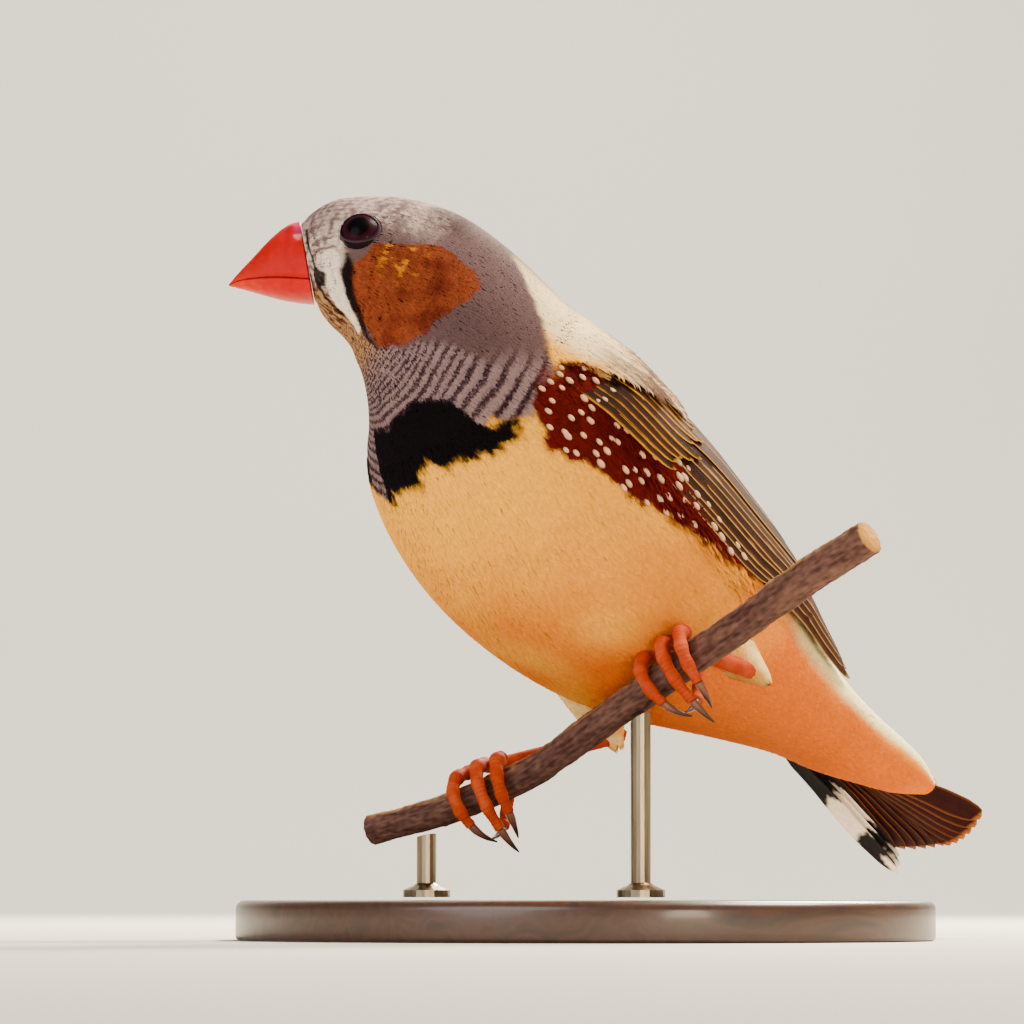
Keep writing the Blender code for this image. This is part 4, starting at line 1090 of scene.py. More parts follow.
class VaneSet:
    """Collects vanes that become one piece."""

    def __init__(self):
        self.shapes = []
        self.colours = []
        self.barbs = []
        self.uvs = []

    def add(self, shape, colour):
        points, faces, along, across = shape
        self.shapes.append((points, faces))
        self.colours.append(colour(along, across, points))
        self.barbs.append(np.stack((along + 0.09 * np.abs(across), along, across * 0.5 + 0.5), -1))
        self.uvs.append(np.stack((across * 0.5 + 0.5, along), -1))

    def build(self, name, slot, replaced):
        made = add_piece(name, *join(self.shapes), vanes_finish, np.vstack(self.colours), slot, (replaced,))
        paint(made, np.vstack(self.barbs), "Barb")
        cells = math.ceil(math.sqrt(len(self.uvs)))
        placed = []
        for index, uv in enumerate(self.uvs):
            corner = np.array((index % cells, index // cells)) / cells
            placed.append(corner + (uv * 0.9 + 0.05) / cells)
        lay_uv(made, np.vstack(placed))


FLIGHT_OUTLINE = ((0.0, 0.08, 0.35, 0.8, 0.93, 0.985, 1.0), (0.35, 0.7, 1.0, 0.95, 0.72, 0.38, 0.06))
COVERT_OUTLINE = ((0.0, 0.1, 0.4, 0.75, 0.9, 0.975, 1.0), (0.45, 0.8, 1.0, 0.96, 0.76, 0.42, 0.1))

WING_BROWN = dye(66, 40, 28)
WING_DARK = dye(28, 15, 11)
WING_EDGE = dye(218, 180, 130)
COVERT_BROWN = dye(86, 54, 34)
COVERT_EDGE = dye(206, 152, 86)

WING_LIFT = (
    (9.0, 0.0), (10.2, 0.2), (11.0, 0.5), (12.3, 0.95), (13.4, 1.2), (14.7, 1.5), (16.0, 1.7),
    (17.0, 1.2), (18.0, 0.5),
)


def wing_surface(root, tip, height, side):
    """A vane's own surface between two places of the wing."""

    def surface(along, across, broad):
        place = root[0] + (tip[0] - root[0]) * along
        degrees = root[1] + (tip[1] - root[1]) * along + np.sin(math.pi * along)
        reach = around_rate(place, side * degrees)
        angle = degrees + across * broad / reach
        lift = line_value(WING_LIFT, place) * (0.5 + 0.5 * smooth(90.0, 66.0, angle))
        lift = lift - 0.3 + (height + 0.3) * smooth(0.0, 0.4, along)
        lift = lift + 0.14 * across + 0.12 * (1.0 - across**2)
        return body_point(np.clip(place, 0.0, LAST_RING), side * angle, lift)

    return surface


def wing_colour(base, dark, edge, edge_share, edge_strength, seed):
    """Colour of a wing feather: darker towards its shaft, with a pale rim."""
    tone = np.random.default_rng(seed).normal(1.0, 0.08)

    def colour(along, across, points):
        body = mix(base, dark, smooth(1.0, 0.4, np.abs(across)) * 0.9)
        streak = noise(points, 0.8)
        body = body * (1.0 + 0.14 * streak)[..., None]
        rim = smooth(1.0 - edge_share, 1.0 - 0.4 * edge_share, np.abs(across) + 0.03 * streak)
        tip = smooth(1.0 - 0.12 * edge_share, 1.0, along)
        rim = np.maximum(rim * (0.3 + 0.7 * (across > 0)), tip)
        body = mix(body, edge, rim * edge_strength)
        body = mix(body, dark * 0.6, 0.7 * bell(across, 0.0, 0.06))
        root_shade = np.interp(along, (0.0, 0.3, 1.0), (0.7, 0.95, 1.0))
        return body * (root_shade * tone)[..., None]

    return colour


# Each row: count, lowest feather (root place, root degrees, tip place, tip degrees), highest
# feather, half width, heights of both, rim share, rim strength, colours of vane and rim
WING_ROWS = (
    (7, (13.0, 86, 17.7, 70), (12.4, 66, 16.6, 44), 1.15, (0.0, 0.2), 0.12, 0.6, WING_BROWN, WING_EDGE),
    (8, (11.0, 87, 14.9, 84), (10.9, 66, 15.9, 60), 1.15, (0.25, 0.6), 0.13, 0.85, WING_BROWN, WING_EDGE),
    (5, (10.8, 62, 15.6, 55), (10.6, 36, 14.3, 15), 1.8, (0.75, 0.95), 0.1, 0.8, WING_BROWN, WING_EDGE),
    (9, (9.7, 90, 11.9, 87), (10.1, 60, 12.3, 58), 0.95, (0.6, 0.9), 0.24, 0.85, COVERT_BROWN, COVERT_EDGE),
    (8, (10.0, 56, 12.1, 52), (10.0, 24, 12.0, 12), 1.3, (0.8, 0.85), 0.2, 0.6, COVERT_BROWN, WING_EDGE),
)


def make_wing(word, side):
    feathers = VaneSet()
    for number, row in enumerate(WING_ROWS):
        count, lowest, highest, half_width, heights, rim, strength, base, edge = row
        lowest = np.array(lowest, float)
        highest = np.array(highest, float)
        outline = FLIGHT_OUTLINE if number < 3 else COVERT_OUTLINE
        for index in range(count):
            share = index / (count - 1)
            jitter = rng.normal(0.0, 1.0, 4) * (0.03, 0.4, 0.08, 0.5)
            place = lowest + (highest - lowest) * share + jitter
            height = heights[0] + (heights[1] - heights[0]) * share
            surface = wing_surface(place[:2], place[2:], height, side)
            colour = wing_colour(base, WING_DARK, edge, rim, strength, 100 * number + index)
            feathers.add(vane_grid(surface, 26, 15, half_width, outline), colour)
    feathers.build("plumes_wing_" + word, "plumage_brown", "wing_" + word)


for wing_word, wing_side in SIDES.items():
    make_wing(wing_word, wing_side)


def make_scapulars():
    """Soft feathers of the shoulder that lie over the roots of the wing."""
    count = int(SHOULDER_TUFTS / THIN)
    place = rng.uniform(9.2, 11.5, count)
    side = rng.uniform(16.0, 84.0, count)
    shown = side < np.interp(place, (9.2, 9.6, 10.2, 10.8, 11.5), (86.0, 80.0, 73.0, 67.0, 60.0))
    place = place[shown]
    side = side[shown]
    degrees = side * rng.choice((-1.0, 1.0), len(side))
    base = line_value(WING_LIFT, place)
    base = base + np.interp(place, (9.2, 9.9, 10.5, 11.5), (0.1, 0.9, 1.45, 1.55))
    length = np.interp(place, (9.2, 11.0), (1.9, 2.8))
    width, rise = (np.full(len(place), value) for value in (0.8, 0.15))
    shapes = tuft_shapes(place, degrees, length, width, LONG_BLADE, rise, 0.14, base)
    add_tufts("coat_shoulder", shapes, marking, "plumage_cream")


make_scapulars()


# Tail

def tail_frame():
    """Root and line of the tail, and its directions to the left and upwards."""
    root = raised(TAIL_ROOT)
    line = raised(TAIL_TIP) - root
    roll = math.radians(TAIL_ROLL)
    left = np.array((0.0, -1.0, 0.0))
    above = unit(np.cross(left, line))
    tilted = left * math.cos(roll) + above * math.sin(roll)
    return root, line, tilted, above * math.cos(roll) - left * math.sin(roll)


TAIL_FRAME = tail_frame()


def tail_point(along, sideways, rise):
    root, line, tilted, over = TAIL_FRAME
    along, sideways, rise = (np.asarray(value)[..., None] for value in (along, sideways, rise))
    return root + line * along + tilted * sideways + over * rise


def tail_surface(root, tip, tilt=0.0, droop=0.0):
    """A vane's own surface between two places of the tail, each a share, a side and a rise."""
    root = np.array(root, float)
    tip = np.array(tip, float)

    def surface(along, across, broad):
        centre = root + (tip - root) * along[..., None]
        sideways = centre[..., 1] + across * broad
        rise = centre[..., 2] + 0.12 * (1.0 - across**2) + tilt * across - droop * along**2
        cupped = 0.1 * sideways + 1.2 * np.maximum(sideways / 5.5, 0.0) ** 2
        rise = rise + cupped * smooth(0.0, 0.6, centre[..., 0])
        points = tail_point(centre[..., 0], sideways, rise)
        return points, np.broadcast_to(TAIL_FRAME[3], points.shape)

    return surface


TAIL_BROWN = dye(36, 11, 8)
TAIL_EDGE = dye(176, 116, 80)


def tail_colour(strength, seed):
    """Colour of a tail feather, with rims as pale as strength says."""
    tone = np.random.default_rng(seed).normal(1.0, 0.05)

    def colour(along, across, points):
        body = np.ones((len(along), 1)) * TAIL_BROWN * (1.0 + 0.12 * noise(points, 0.9))[:, None]
        end = smooth(0.985, 1.0, along + 0.012 * np.abs(across))
        pale = np.maximum(smooth(0.94, 1.0, np.abs(across)) * strength, end * 0.9)
        body = mix(body, TAIL_EDGE, pale)
        return mix(body, TAIL_BROWN * 0.55, 0.5 * bell(across, 0.0, 0.07)) * tone

    return colour


def barred_colour(bars):
    """Colour of a barred covert: its share of white by its length."""

    def colour(along, across, points):
        white = line_value(bars, along + 0.02 * noise(points, 0.8) - 0.06 * np.abs(across))
        return mix(BLACK * 1.2, WHITE, white)

    return colour


TAIL_FEATHERS = 12
UPPER_COVERTS = 8
UPPER_LAYERS = 2
UPPER_BARS = (
    (0.0, 1.0), (0.12, 1.0), (0.17, 0.0), (0.42, 0.0), (0.46, 1.0), (0.58, 1.0), (0.62, 0.0),
    (0.86, 0.0), (0.9, 1.0), (1.0, 1.0),
)
SIDE_BARS = (
    (0.0, 0.0), (0.35, 0.0), (0.38, 1.0), (0.62, 1.0), (0.65, 0.0), (0.86, 0.0), (0.9, 0.9), (1.0, 0.9),
)
# Root, tip and half width of each side covert
SIDE_COVERTS = (
    ((-0.26, -2.4, -0.9), (0.92, -5.1, -1.3), 1.2),
    ((-0.24, -2.8, -1.2), (0.98, -5.8, -1.6), 1.25),
    ((-0.22, -3.2, -1.5), (1.02, -6.5, -1.9), 1.2),
)


def make_tail_feathers():
    feathers = VaneSet()
    middle = (TAIL_FEATHERS - 1) / 2.0
    for index in range(TAIL_FEATHERS):
        out = index - middle
        share = out / middle
        level = 0.1 - 0.06 * abs(out)
        root = (0.05, share * 2.6, level - 0.3)
        tip = (1.0 - 0.0035 * out**2, share * 5.8, level - 0.2)
        surface = tail_surface(root, tip, tilt=0.12 * np.sign(share))
        colour = tail_colour(0.04 + 0.04 * abs(out), 300 + index)
        feathers.add(vane_grid(surface, 22, 9, 1.35, FLIGHT_OUTLINE), colour)
    feathers.build("plumes_tail", "plumage_brown", "tail")


def make_upper_coverts():
    coverts = VaneSet()
    for layer in range(UPPER_LAYERS):
        for share in np.linspace(-1.0, 1.0, UPPER_COVERTS):
            drop = 0.5 * abs(share)
            root = (0.02 - 0.02 * layer, share * (3.2 - 0.4 * layer), 1.3 + 0.5 * layer - drop)
            reach = 0.66 - 0.12 * abs(share) - 0.16 * layer
            tip = (reach, share * (4.6 - 0.4 * layer), 1.0 + 0.25 * layer - drop)
            surface = tail_surface(root, tip, droop=0.2)
            coverts.add(vane_grid(surface, 40, 9, 1.3, COVERT_OUTLINE), barred_colour(UPPER_BARS))
    coverts.build("plumes_tail_upper", "plumage_barred", "tail_coverts_upper")


def make_side_coverts():
    coverts = VaneSet()
    for root, tip, half_width in SIDE_COVERTS:
        shape = vane_grid(tail_surface(root, tip), 48, 9, half_width, COVERT_OUTLINE)
        coverts.add(shape, barred_colour(SIDE_BARS))
    coverts.build("plumes_tail_side", "plumage_barred", "tail_covert_right")


make_tail_feathers()
make_upper_coverts()
make_side_coverts()


# Bill

BILL_ROWS = 60
BILL_COLUMNS = 48
BILL_LENGTH = BILL[-1, 0]
BILL_INSIDE = np.linspace(-0.9, 0.9, 9)
BILL_RED = np.array((0.52, 0.001, 0.001))
BILL_PINK = np.array((0.5, 0.003, 0.016))
BILL_ORANGE = np.array((0.62, 0.02, 0.001))
BILL_DEEP = np.array((0.22, 0.003, 0.003))
NOSTRIL = np.array((0.36, 0.004, 0.09))
# Pale crescent at the nostril: a painted highlight
NOSTRIL_HIGHLIGHT = np.array((0.85, 0.5, 0.52))


def bill_frame():
    """Middle of the bill's root, its directions ahead, across and upwards, and the root's lean."""
    centre, back, left = ring_frame(0.0)
    turn = -math.radians(HEAD_TURN)
    ahead = np.array((-math.cos(turn), -math.sin(turn), 0.0))
    above = unit(back)
    level = unit(above - ahead * (above @ ahead))
    return centre, ahead, unit(left), level, (above @ ahead) / (above @ level)


def bill_point(forwards, sideways, upwards):
    centre, ahead, across, level, lean = bill_frame()
    forwards, sideways, upwards = (np.asarray(value)[..., None] for value in (forwards, sideways, upwards))
    fade = np.maximum(0.0, 1.0 - forwards / BILL_LENGTH)
    return centre + ahead * (forwards + upwards * lean * fade) + across * sideways + level * upwards


def bill_part(upper):
    """Points and triangles of half the bill, with the share of its length and height at each."""
    place = np.linspace(0.0, len(BILL) - 1.0, BILL_ROWS)
    share = place / place[-1]
    forwards, top, mouth, bottom, half = np.moveaxis(spline(BILL, place)[:, None], -1, 0)
    half = np.maximum(half, 0.05)
    angle = np.linspace(0.0, math.pi, BILL_COLUMNS)
    off_ridge = angle - math.pi / 2.0
    arc = np.abs(np.sin(angle)) ** 0.8
    edge = 0.08 * np.sin(math.pi * share)[:, None]
    if upper:
        edge = mouth + 0.06 - edge
        ridge = 0.1 * bell(off_ridge, 0.0, 0.12) * (1.0 - forwards / BILL_LENGTH)
        swell = bell(np.abs(off_ridge), 0.62, 0.16) * bell(forwards, 0.9, 0.55)
        rise = edge + (top - edge) * arc + ridge + 0.16 * swell
        sideways = half * np.cos(angle) * (1.0 + 0.08 * swell)
        inside_rise = mouth + 0.02
    else:
        edge = mouth - 0.05 - edge
        rise = edge + (bottom - edge) * arc
        sideways = half * 0.93 * np.cos(angle)
        inside_rise = mouth - 0.04
    inner = bill_point(forwards, half * BILL_INSIDE, inside_rise)
    points, faces = close_rings(np.concatenate((bill_point(forwards, sideways, rise), inner), 1))
    height = np.concatenate((arc, 0.0 * BILL_INSIDE))
    share = np.append(np.repeat(share, len(height)), (0.0, 1.0))
    return points, faces, share, np.append(np.tile(height, BILL_ROWS), (0.0, 0.0))


def nostril_colour(colour, share, height):
    """Violet swelling at the nostril with a pale crescent: a painted highlight."""
    swelling = bell(share, 0.05, 0.05, 4) * bell(height, 0.79, 0.075, 4)
    colour = mix(colour, NOSTRIL, swelling * 0.85)
    # pale crescent: painted highlight
    highlight_crescent = bell(share, 0.06, 0.06, 4) * bell(height, 0.66 + 6.0 * (share - 0.06) ** 2, 0.028)
    return mix(colour, NOSTRIL_HIGHLIGHT, highlight_crescent * 0.8)


def make_bill(name):
    upper = name == "bill_upper"
    points, faces, share, height = bill_part(upper)
    if upper:
        colour = mix(BILL_RED, BILL_PINK, smooth(0.5, 0.95, height) * smooth(0.5, 0.05, share) * 0.9)
        colour = mix(colour, BILL_ORANGE, smooth(0.6, 1.0, share) * 0.9)
    else:
        colour = mix(BILL_RED, BILL_ORANGE, smooth(0.3, 0.9, share))
    colour = mix(colour, BILL_DEEP, smooth(0.1, 0.02, height) * 0.3)
    if upper:
        colour = nostril_colour(colour, share, height)
    colour = colour * (1.0 + 0.05 * noise(points, 0.5))[:, None]
    add_piece("horn_" + name, points, faces, horn, colour, "bill_horn", (name,))


make_bill("bill_upper")
make_bill("bill_lower")


# Eyes

IRIS_STOPS = (
    (0.0, (0.0015, 0.001, 0.0015)), (0.52, (0.0015, 0.001, 0.0015)), (0.6, (0.018, 0.002, 0.005)),
    (0.8, (0.028, 0.003, 0.009)), (0.93, (0.01, 0.002, 0.006)), (1.0, (0.004, 0.002, 0.003)),
)
IRIS_RADIUS = 1.9
EYE_ROWS = 48
EYE_SIDES = 64
LID_INSIDE = (1.86, 1.5)
LID_INSIDE_RISE = 0.05
LID_OUTSIDE = (2.2, 1.92)
LID_ROWS = 9
LID_SIDES = 96
LID_BEADS = 24.0


def eye_material():
    """Finish of an eye: the painted value is the share from its middle to the iris's edge."""
    finish = Finish("eye_glass", 0.4, Coat_Weight=0.035, Coat_Roughness=0.05, Specular_IOR_Level=0.03)
    return finish.done(finish.ramp(finish.red(finish.layer()), IRIS_STOPS))


eye_finish = eye_material()


def eye_basis(word):
    """Forwards, upwards and outwards unit vectors of an eye."""
    axis = eye_axes[word]
    upwards = unit(np.array((0.0, 0.0, 1.0)) - axis * axis[2])
    forwards = np.cross(upwards, axis)
    if forwards @ bill_frame()[1] < 0.0:
        forwards = -forwards
    return forwards, upwards, axis


def make_eyeball(word):
    forwards, upwards, axis = eye_basis(word)
    polar, angle = grid(np.linspace(0.0, math.radians(115.0), EYE_ROWS), turns(EYE_SIDES))
    polar[0] = 1e-4
    radius = EYE_RADIUS * (1.0 + 0.03 * bell(polar, 0.0, 0.5))
    direction = (
        axis * np.cos(polar)[..., None]
        + forwards * (np.sin(polar) * np.cos(angle))[..., None]
        + upwards * (np.sin(polar) * np.sin(angle))[..., None]
    )
    rings = eye_centres[word] + direction * radius[..., None]
    points = np.vstack((rings.reshape(-1, 3), rings[-1].mean(0)))
    faces = closed_faces(EYE_ROWS, EYE_SIDES, open_start=True)
    share = np.append(np.sin(polar) * EYE_RADIUS / IRIS_RADIUS, 1.0)[:, None] * np.ones(3)
    add_piece("eyeball_" + word, points, faces, eye_finish, share, "eye_glass", ("eye_" + word,))


def make_eyelid(word):
    """A rim of bare skin with tiny beads round the opening of an eye."""
    forwards, upwards, axis = eye_basis(word)
    angle = turns(LID_SIDES)
    circle = np.stack((np.cos(angle), np.sin(angle)), -1)
    inner = circle * LID_INSIDE + (0.0, LID_INSIDE_RISE)
    outer = circle * LID_OUTSIDE
    rings = []
    for share in np.linspace(0.0, 1.0, LID_ROWS):
        flat = inner + (outer - inner) * share
        reach = np.linalg.norm(flat, axis=-1)
        ball = np.sqrt(np.maximum(EYE_RADIUS**2 - reach**2, 0.0)) + 0.03
        bead = 0.05 * np.abs(np.sin(angle * LID_BEADS)) * bell(share, 0.35, 0.2)
        skin = EYE_DEPTH - 0.25 - 0.08 * (reach - 1.7)
        swell = 0.12 * math.sin(math.pi * min(1.0, share * 1.15 + 0.12)) ** 0.7
        level = np.where(share < 0.5, ball, np.minimum(ball, skin)) + swell + bead
        level = level * (1.0 - share**3) + skin * share**3
        ring = forwards * flat[:, :1] + upwards * flat[:, 1:] + axis * level[:, None]
        rings.append(eye_centres[word] + ring)
    faces = quads_to_triangles(grid_faces(LID_ROWS, LID_SIDES, closed=True))
    share = np.repeat(np.linspace(0.0, 1.0, LID_ROWS), LID_SIDES)
    colour = mix(dye(74, 58, 66), dye(22, 14, 20), smooth(0.6, 0.2, share))
    points = np.array(rings).reshape(-1, 3)
    add_piece("eyelid_" + word, points, faces, lid_finish, colour, "plumage_grey")


for eye_word in SIDES:
    make_eyeball(eye_word)
    make_eyelid(eye_word)


# Branch

PERCH_ROWS = 420
PERCH_SIDES = 72
PERCH_FINE = 600
CUT_WOOD = dye(184, 140, 92)


def perch_at(y):
    """Middle and direction of the branch at a place along y."""
    line = along_table(PERCH_LINE, PERCH_FINE)
    index = int(np.argmin(np.abs(line[1:-1, 1] - y))) + 1
    return raised(line[index, :3]), unit(line[index + 1, :3] - line[index - 1, :3])


def make_perch():
    line = along_table(PERCH_LINE, PERCH_ROWS)
    centre = raised(line[:, :3])
    angle = turns(PERCH_SIDES)
    length = run_length(centre)[:, None]
    spots = np.stack(np.broadcast_arrays(np.cos(angle) * 1.7, np.sin(angle) * 1.7, length * 0.16), -1)
    ridges = noise(spots * (1.0, 1.0, 2.2), 0.3)
    lumps = noise(spots * (1.0, 1.0, 3.0), 1.2)
    rings = noise(spots * (0.3, 0.3, 8.0), 0.8)
    knot = bell(length, length[-1] * 0.82, 1.2) * bell(angle, 4.4, 0.8)
    bumps = 0.035 * ridges + 0.04 * lumps + 0.02 * rings + 0.25 * knot
    bumps[[0, -1]] -= 0.18
    points, faces = tube(centre, line[:, 3] - 0.08, PERCH_SIDES, bumps)
    grain = noise(spots * (1.0, 1.0, 0.7), 0.12)
    shade = np.clip(0.5 + 0.24 * ridges + 0.06 * lumps + 0.12 * grain, 0.0, 1.0)
    colour = mix(dye(58, 38, 35, 1.1), dye(106, 78, 70, 1.1), shade)
    patches = smooth(0.3, 1.1, noise(spots * (1.0, 1.0, 2.0), 1.0))
    colour = mix(colour, dye(150, 116, 98), patches * 0.12)
    # the top of the branch painted pale cream: painted light from above
    upward = unit(points[:-2].reshape(PERCH_ROWS, PERCH_SIDES, 3) - centre[:, None])[..., 2]
    colour = mix(colour, dye(186, 146, 100), 0.4 * smooth(0.55, 1.0, upward + 0.2 * grain))
    colour[[0, -1]] = CUT_WOOD * 0.8
    colour = np.vstack((colour.reshape(-1, 3), CUT_WOOD, CUT_WOOD))
    add_piece("bark_perch", points, faces, bark, colour, "branch_bark", ("perch",))


make_perch()


# Legs

LEG_COLOUR = dye(164, 62, 36, 1.15)
LEG_DARK = dye(122, 40, 22, 1.15)
LEG_PALE = dye(190, 88, 56, 1.15)
CLAW_PALE = srgb(120, 78, 60)
CLAW_DARK = srgb(60, 36, 30)
CLAW_ROWS = 24
CLAW_SIDES = 14
CLAW_DROP = 0.33
TARSUS_RADII = (0.6, 0.78, 0.85, 0.85)


def foot_point(word, point):
    """A place given along the branch, forwards and upwards from the foot's grip on it."""
    centre, along = perch_at(FOOT_Y[word])
    forwards = np.array((-1.0, 0.0, 0.0))
    forwards = unit(forwards - along * (forwards @ along))
    above = np.cross(forwards, along)
    if above[2] < 0.0:
        above = -above
    return centre + along * point[0] + forwards * point[1] + above * point[2]


def leg_tube(line, radii, sides, pitch, height, rows):
    """A stretch of leg or toe with rings of overlapping scutes, and how deep each point's groove is."""
    line = along_table(line, rows)
    phase = (run_length(line) / pitch) % 1.0
    bumps = (phase - 0.5)[:, None] * height * (0.6 + 0.4 * np.cos(turns(sides)))
    close = np.ones(rows)
    close[[0, -1]] = 0.35
    points, faces = tube(line, along_values(radii, rows) * close, sides, bumps * close[:, None])
    groove = np.repeat(smooth(0.82, 1.0, phase), sides)
    return points, faces, np.append(groove, (0.0, 0.0))


def toe_line(word, toe, pad):
    """Middle line and radii of a toe from the foot's pad; its joints swell a little."""
    joints = np.array([foot_point(word, point) for point in toe])
    line = along_table(joints, 4 * len(toe) - 3)
    radii = along_values(TOE_RADII[:len(toe)], len(line))
    radii = radii * (1.0 + 0.09 * np.cos(np.arange(len(line)) * math.pi / 2.0))
    return np.vstack((pad * 0.6 + line[0] * 0.4, line)), np.append(radii[0], radii)


def claw_shape(word, toe):
    """A claw that goes on from a toe's line and bends towards the branch."""
    heading = unit(toe[-1] - toe[-3])
    inwards = perch_at(FOOT_Y[word])[0] - toe[-1]
    inwards = unit(inwards - heading * (inwards @ heading))
    step = np.linspace(0.0, 1.0, len(CLAW_RADII))[:, None]
    line = toe[-1] + CLAW_LENGTH * (heading * step + CLAW_DROP * inwards * step**2)
    points, faces = tube(along_table(line, CLAW_ROWS), along_values(CLAW_RADII, CLAW_ROWS), CLAW_SIDES)
    share = np.append(np.repeat(np.linspace(0.0, 1.0, CLAW_ROWS), CLAW_SIDES), (0.0, 1.0))
    return points, faces, share


def join_valued(shapes):
    """One set of points, faces and values from several."""
    return *join([shape[:2] for shape in shapes]), np.concatenate([shape[2] for shape in shapes])


def make_leg(word):
    heel = raised(HEEL[word])
    pad = foot_point(word, PAD)
    upwards = unit(raised(KNEE[word]) - heel)
    tarsus = np.array((heel + upwards * 2.4, heel + upwards * 0.4, heel + unit(pad - heel) * 0.3, pad))
    pieces = [leg_tube(tarsus, TARSUS_RADII, 20, 0.7, 0.06, 120)]
    claws = []
    for toe in TOES.values():
        line, radii = toe_line(word, toe, pad)
        pieces.append(leg_tube(line, radii, 18, 0.42, 0.045, 110))
        claws.append(claw_shape(word, line))
    points, faces, groove = join_valued(pieces)
    colour = mix(LEG_COLOUR, LEG_PALE, 0.6 * smooth(-0.5, 1.0, noise(points, 1.4)))
    colour = mix(colour, LEG_DARK, groove * 0.45)
    replaced = ["tarsus_" + word] + [f"toe_{word}_{number}" for number in TOES]
    add_piece("scales_leg_" + word, points, faces, leg_finish, colour, "leg_skin", replaced)
    points, faces, share = join_valued(claws)
    colour = mix(CLAW_PALE, CLAW_DARK, smooth(0.0, 0.8, share))
    replaced = [f"claw_{word}_{number}" for number in TOES]
    add_piece("horn_claws_" + word, points, faces, claw_finish, colour, "claw_horn", replaced)


for leg_word in SIDES:
    make_leg(leg_word)


# Stand

BASE_HALF_X = 33.0
BASE_HALF_Y = 37.0
BASE_HEIGHT = 4.0
BASE_EDGE = 0.9
BASE_SIDES = 192
WOOD_STOPS = ((0.25, srgb(40, 24, 16)), (0.5, srgb(70, 42, 27)), (0.75, srgb(50, 30, 20)))
METAL_STOPS = ((0.3, srgb(120, 106, 84)), (0.7, srgb(150, 136, 110)))
WOOD_GRAIN = (55.0, 8.0, 1.2, (1.0, 6.0, 6.0))
METAL_GRAIN = (3000.0, 3.0, 0.0, (1.0, 1.0, 0.05))

wood = grained_material(
    "stand_wood_finish", 0.38, WOOD_GRAIN, WOOD_STOPS, 0.15, 0.0002, Coat_Weight=0.3, Coat_Roughness=0.15
)
metal = grained_material(
    "stand_metal_finish", 0.32, METAL_GRAIN, METAL_STOPS, 0.1, 0.00005, Metallic=1.0
)


def finish_node(name, material):
    """Gives a node of the part its finish in place of its plain one."""
    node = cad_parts[name]
    if not node.material_slots:
        node.data.materials.append(material)
    for slot in node.material_slots:
        slot.material = material


def make_base():
    """The elliptical wooden base, turned smooth."""
    angle = turns(BASE_SIDES)
    rim = [(2.0, 0.0), (0.4, 0.0), (0.1, 0.12), (0.0, 0.4)]
    for bend in np.linspace(0.0, math.pi / 2.0, 9):
        rim.append((BASE_EDGE * (1.0 - math.cos(bend)), BASE_HEIGHT - BASE_EDGE * (1.0 - math.sin(bend))))
    rim.append((2.0, BASE_HEIGHT))
    rings = np.array([np.stack((
        (BASE_HALF_X - inset) * np.cos(angle),
        (BASE_HALF_Y - inset) * np.sin(angle),
        np.full(BASE_SIDES, height),
    ), -1) for inset, height in rim])
    made = make_object("turned_base", *close_rings(rings), wood)
    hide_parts("stand_base")


finish_node("stand_rod_1", metal)
finish_node("stand_rod_2", metal)
make_base()


# Studio

VIEW_AZIMUTH = math.radians(-42.0)
VIEW_ELEVATION = math.radians(-3.6)
VIEW_DISTANCE = 600.0
VIEW_WIDTH = 102.4
VIEW_RIGHT = -7.1
VIEW_UP = 23.3
SENSOR = 36.0
SWEEP_STOPS = ((0.3, (0.62, 0.585, 0.50)), (0.7, (0.66, 0.625, 0.54)))
SWEEP_HALF = 2500.0
SWEEP_START = 750.0
SWEEP_RADIUS = 450.0
SWEEP_TOP = 2400.0
SWEEP_STEPS = 12

up = np.array((0.0, 0.0, 1.0))
towards = np.array((
    math.sin(VIEW_AZIMUTH) * math.cos(VIEW_ELEVATION),
    -math.cos(VIEW_AZIMUTH) * math.cos(VIEW_ELEVATION),
    math.sin(VIEW_ELEVATION),
))
rightwards = unit(np.cross(-towards, up))
view_up = np.cross(rightwards, -towards)
target = raised(rightwards * VIEW_RIGHT + view_up * VIEW_UP)


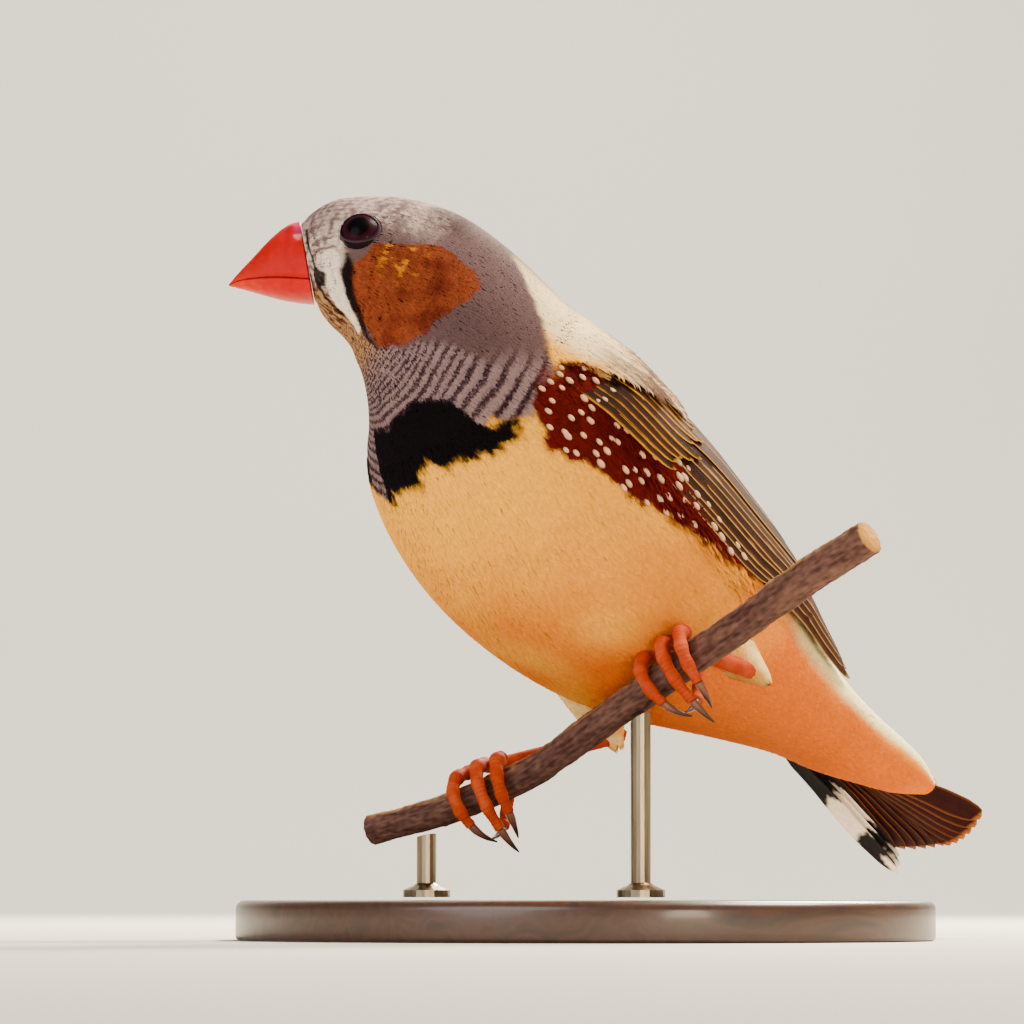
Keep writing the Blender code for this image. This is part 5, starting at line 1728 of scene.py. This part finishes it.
def make_stage():
    """A pale floor that curves up into a wall behind the part."""
    profile = [(-SWEEP_HALF, 0.0), (SWEEP_START, 0.0)]
    for bend in np.linspace(0.0, math.pi / 2.0, SWEEP_STEPS + 1)[1:]:
        profile.append((SWEEP_START + SWEEP_RADIUS * math.sin(bend), SWEEP_RADIUS * (1.0 - math.cos(bend))))
    profile.append((SWEEP_START + SWEEP_RADIUS, SWEEP_TOP))
    away = np.array((-math.sin(VIEW_AZIMUTH), math.cos(VIEW_AZIMUTH), 0.0))
    points = []
    for ahead, height in profile:
        for side in (-SWEEP_HALF, 0.0, SWEEP_HALF):
            points.append(away * ahead + rightwards * side + up * height)
    finish = Finish("sweep", 0.9)
    sweep = finish.done(finish.ramp(finish.noise(3.0, 2.0), SWEEP_STOPS))
    floor = make_object("floor", np.array(points), grid_faces(len(profile), 3), sweep)
    floor.data.flip_normals()


def metres(values):
    return tuple(float(value) for value in np.asarray(values) * 0.001)


def make_camera():
    data = bpy.data.cameras.new("camera")
    data.sensor_width = SENSOR
    data.lens = SENSOR * VIEW_DISTANCE / VIEW_WIDTH
    data.clip_start = 0.01
    data.clip_end = 20.0
    camera = bpy.data.objects.new("camera", data)
    bpy.context.scene.collection.objects.link(camera)
    camera.location = metres(target + towards * VIEW_DISTANCE)
    camera.rotation_mode = "QUATERNION"
    camera.rotation_quaternion = Matrix(np.stack((rightwards, view_up, towards), -1).tolist()).to_quaternion()
    bpy.context.scene.camera = camera


def from_target(right, rise, near):
    """A place right of, above and nearer than the middle of the view."""
    return target + rightwards * right + up * rise + towards * near


def add_light(name, place, size, energy, colour, aim=(0.0, 0.0, 0.0)):
    data = bpy.data.lights.new(name, "AREA")
    data.shape = "DISK"
    data.size = size
    data.energy = energy
    data.color = colour
    lamp = bpy.data.objects.new(name, data)
    bpy.context.scene.collection.objects.link(lamp)
    lamp.location = metres(from_target(*place))
    lamp.rotation_mode = "QUATERNION"
    lamp.rotation_quaternion = (Vector(metres(from_target(*aim))) - lamp.location).to_track_quat("-Z", "Y")


make_stage()
make_camera()
add_light("key", (260.0, 420.0, -60.0), 0.22, 7.0, (1.0, 0.9, 0.74))
add_light("fill", (-380.0, 220.0, 420.0), 0.5, 2.9, (1.0, 0.96, 0.95))
add_light("front", (200.0, -20.0, 520.0), 0.16, 1.9, (1.0, 0.84, 0.66))
add_light("rim", (160.0, 260.0, -330.0), 0.15, 8.0, (1.0, 0.9, 0.72))
add_light("backdrop", (0.0, 640.0, -420.0), 0.6, 17.0, (1.0, 0.97, 0.92), (0.0, 60.0, -1200.0))

world = bpy.data.worlds.new("studio")
bpy.context.scene.world = world
world.use_nodes = True
background = world.node_tree.nodes["Background"]
background.inputs["Color"].default_value = (0.9, 0.88, 0.84, 1.0)
background.inputs["Strength"].default_value = 0.24
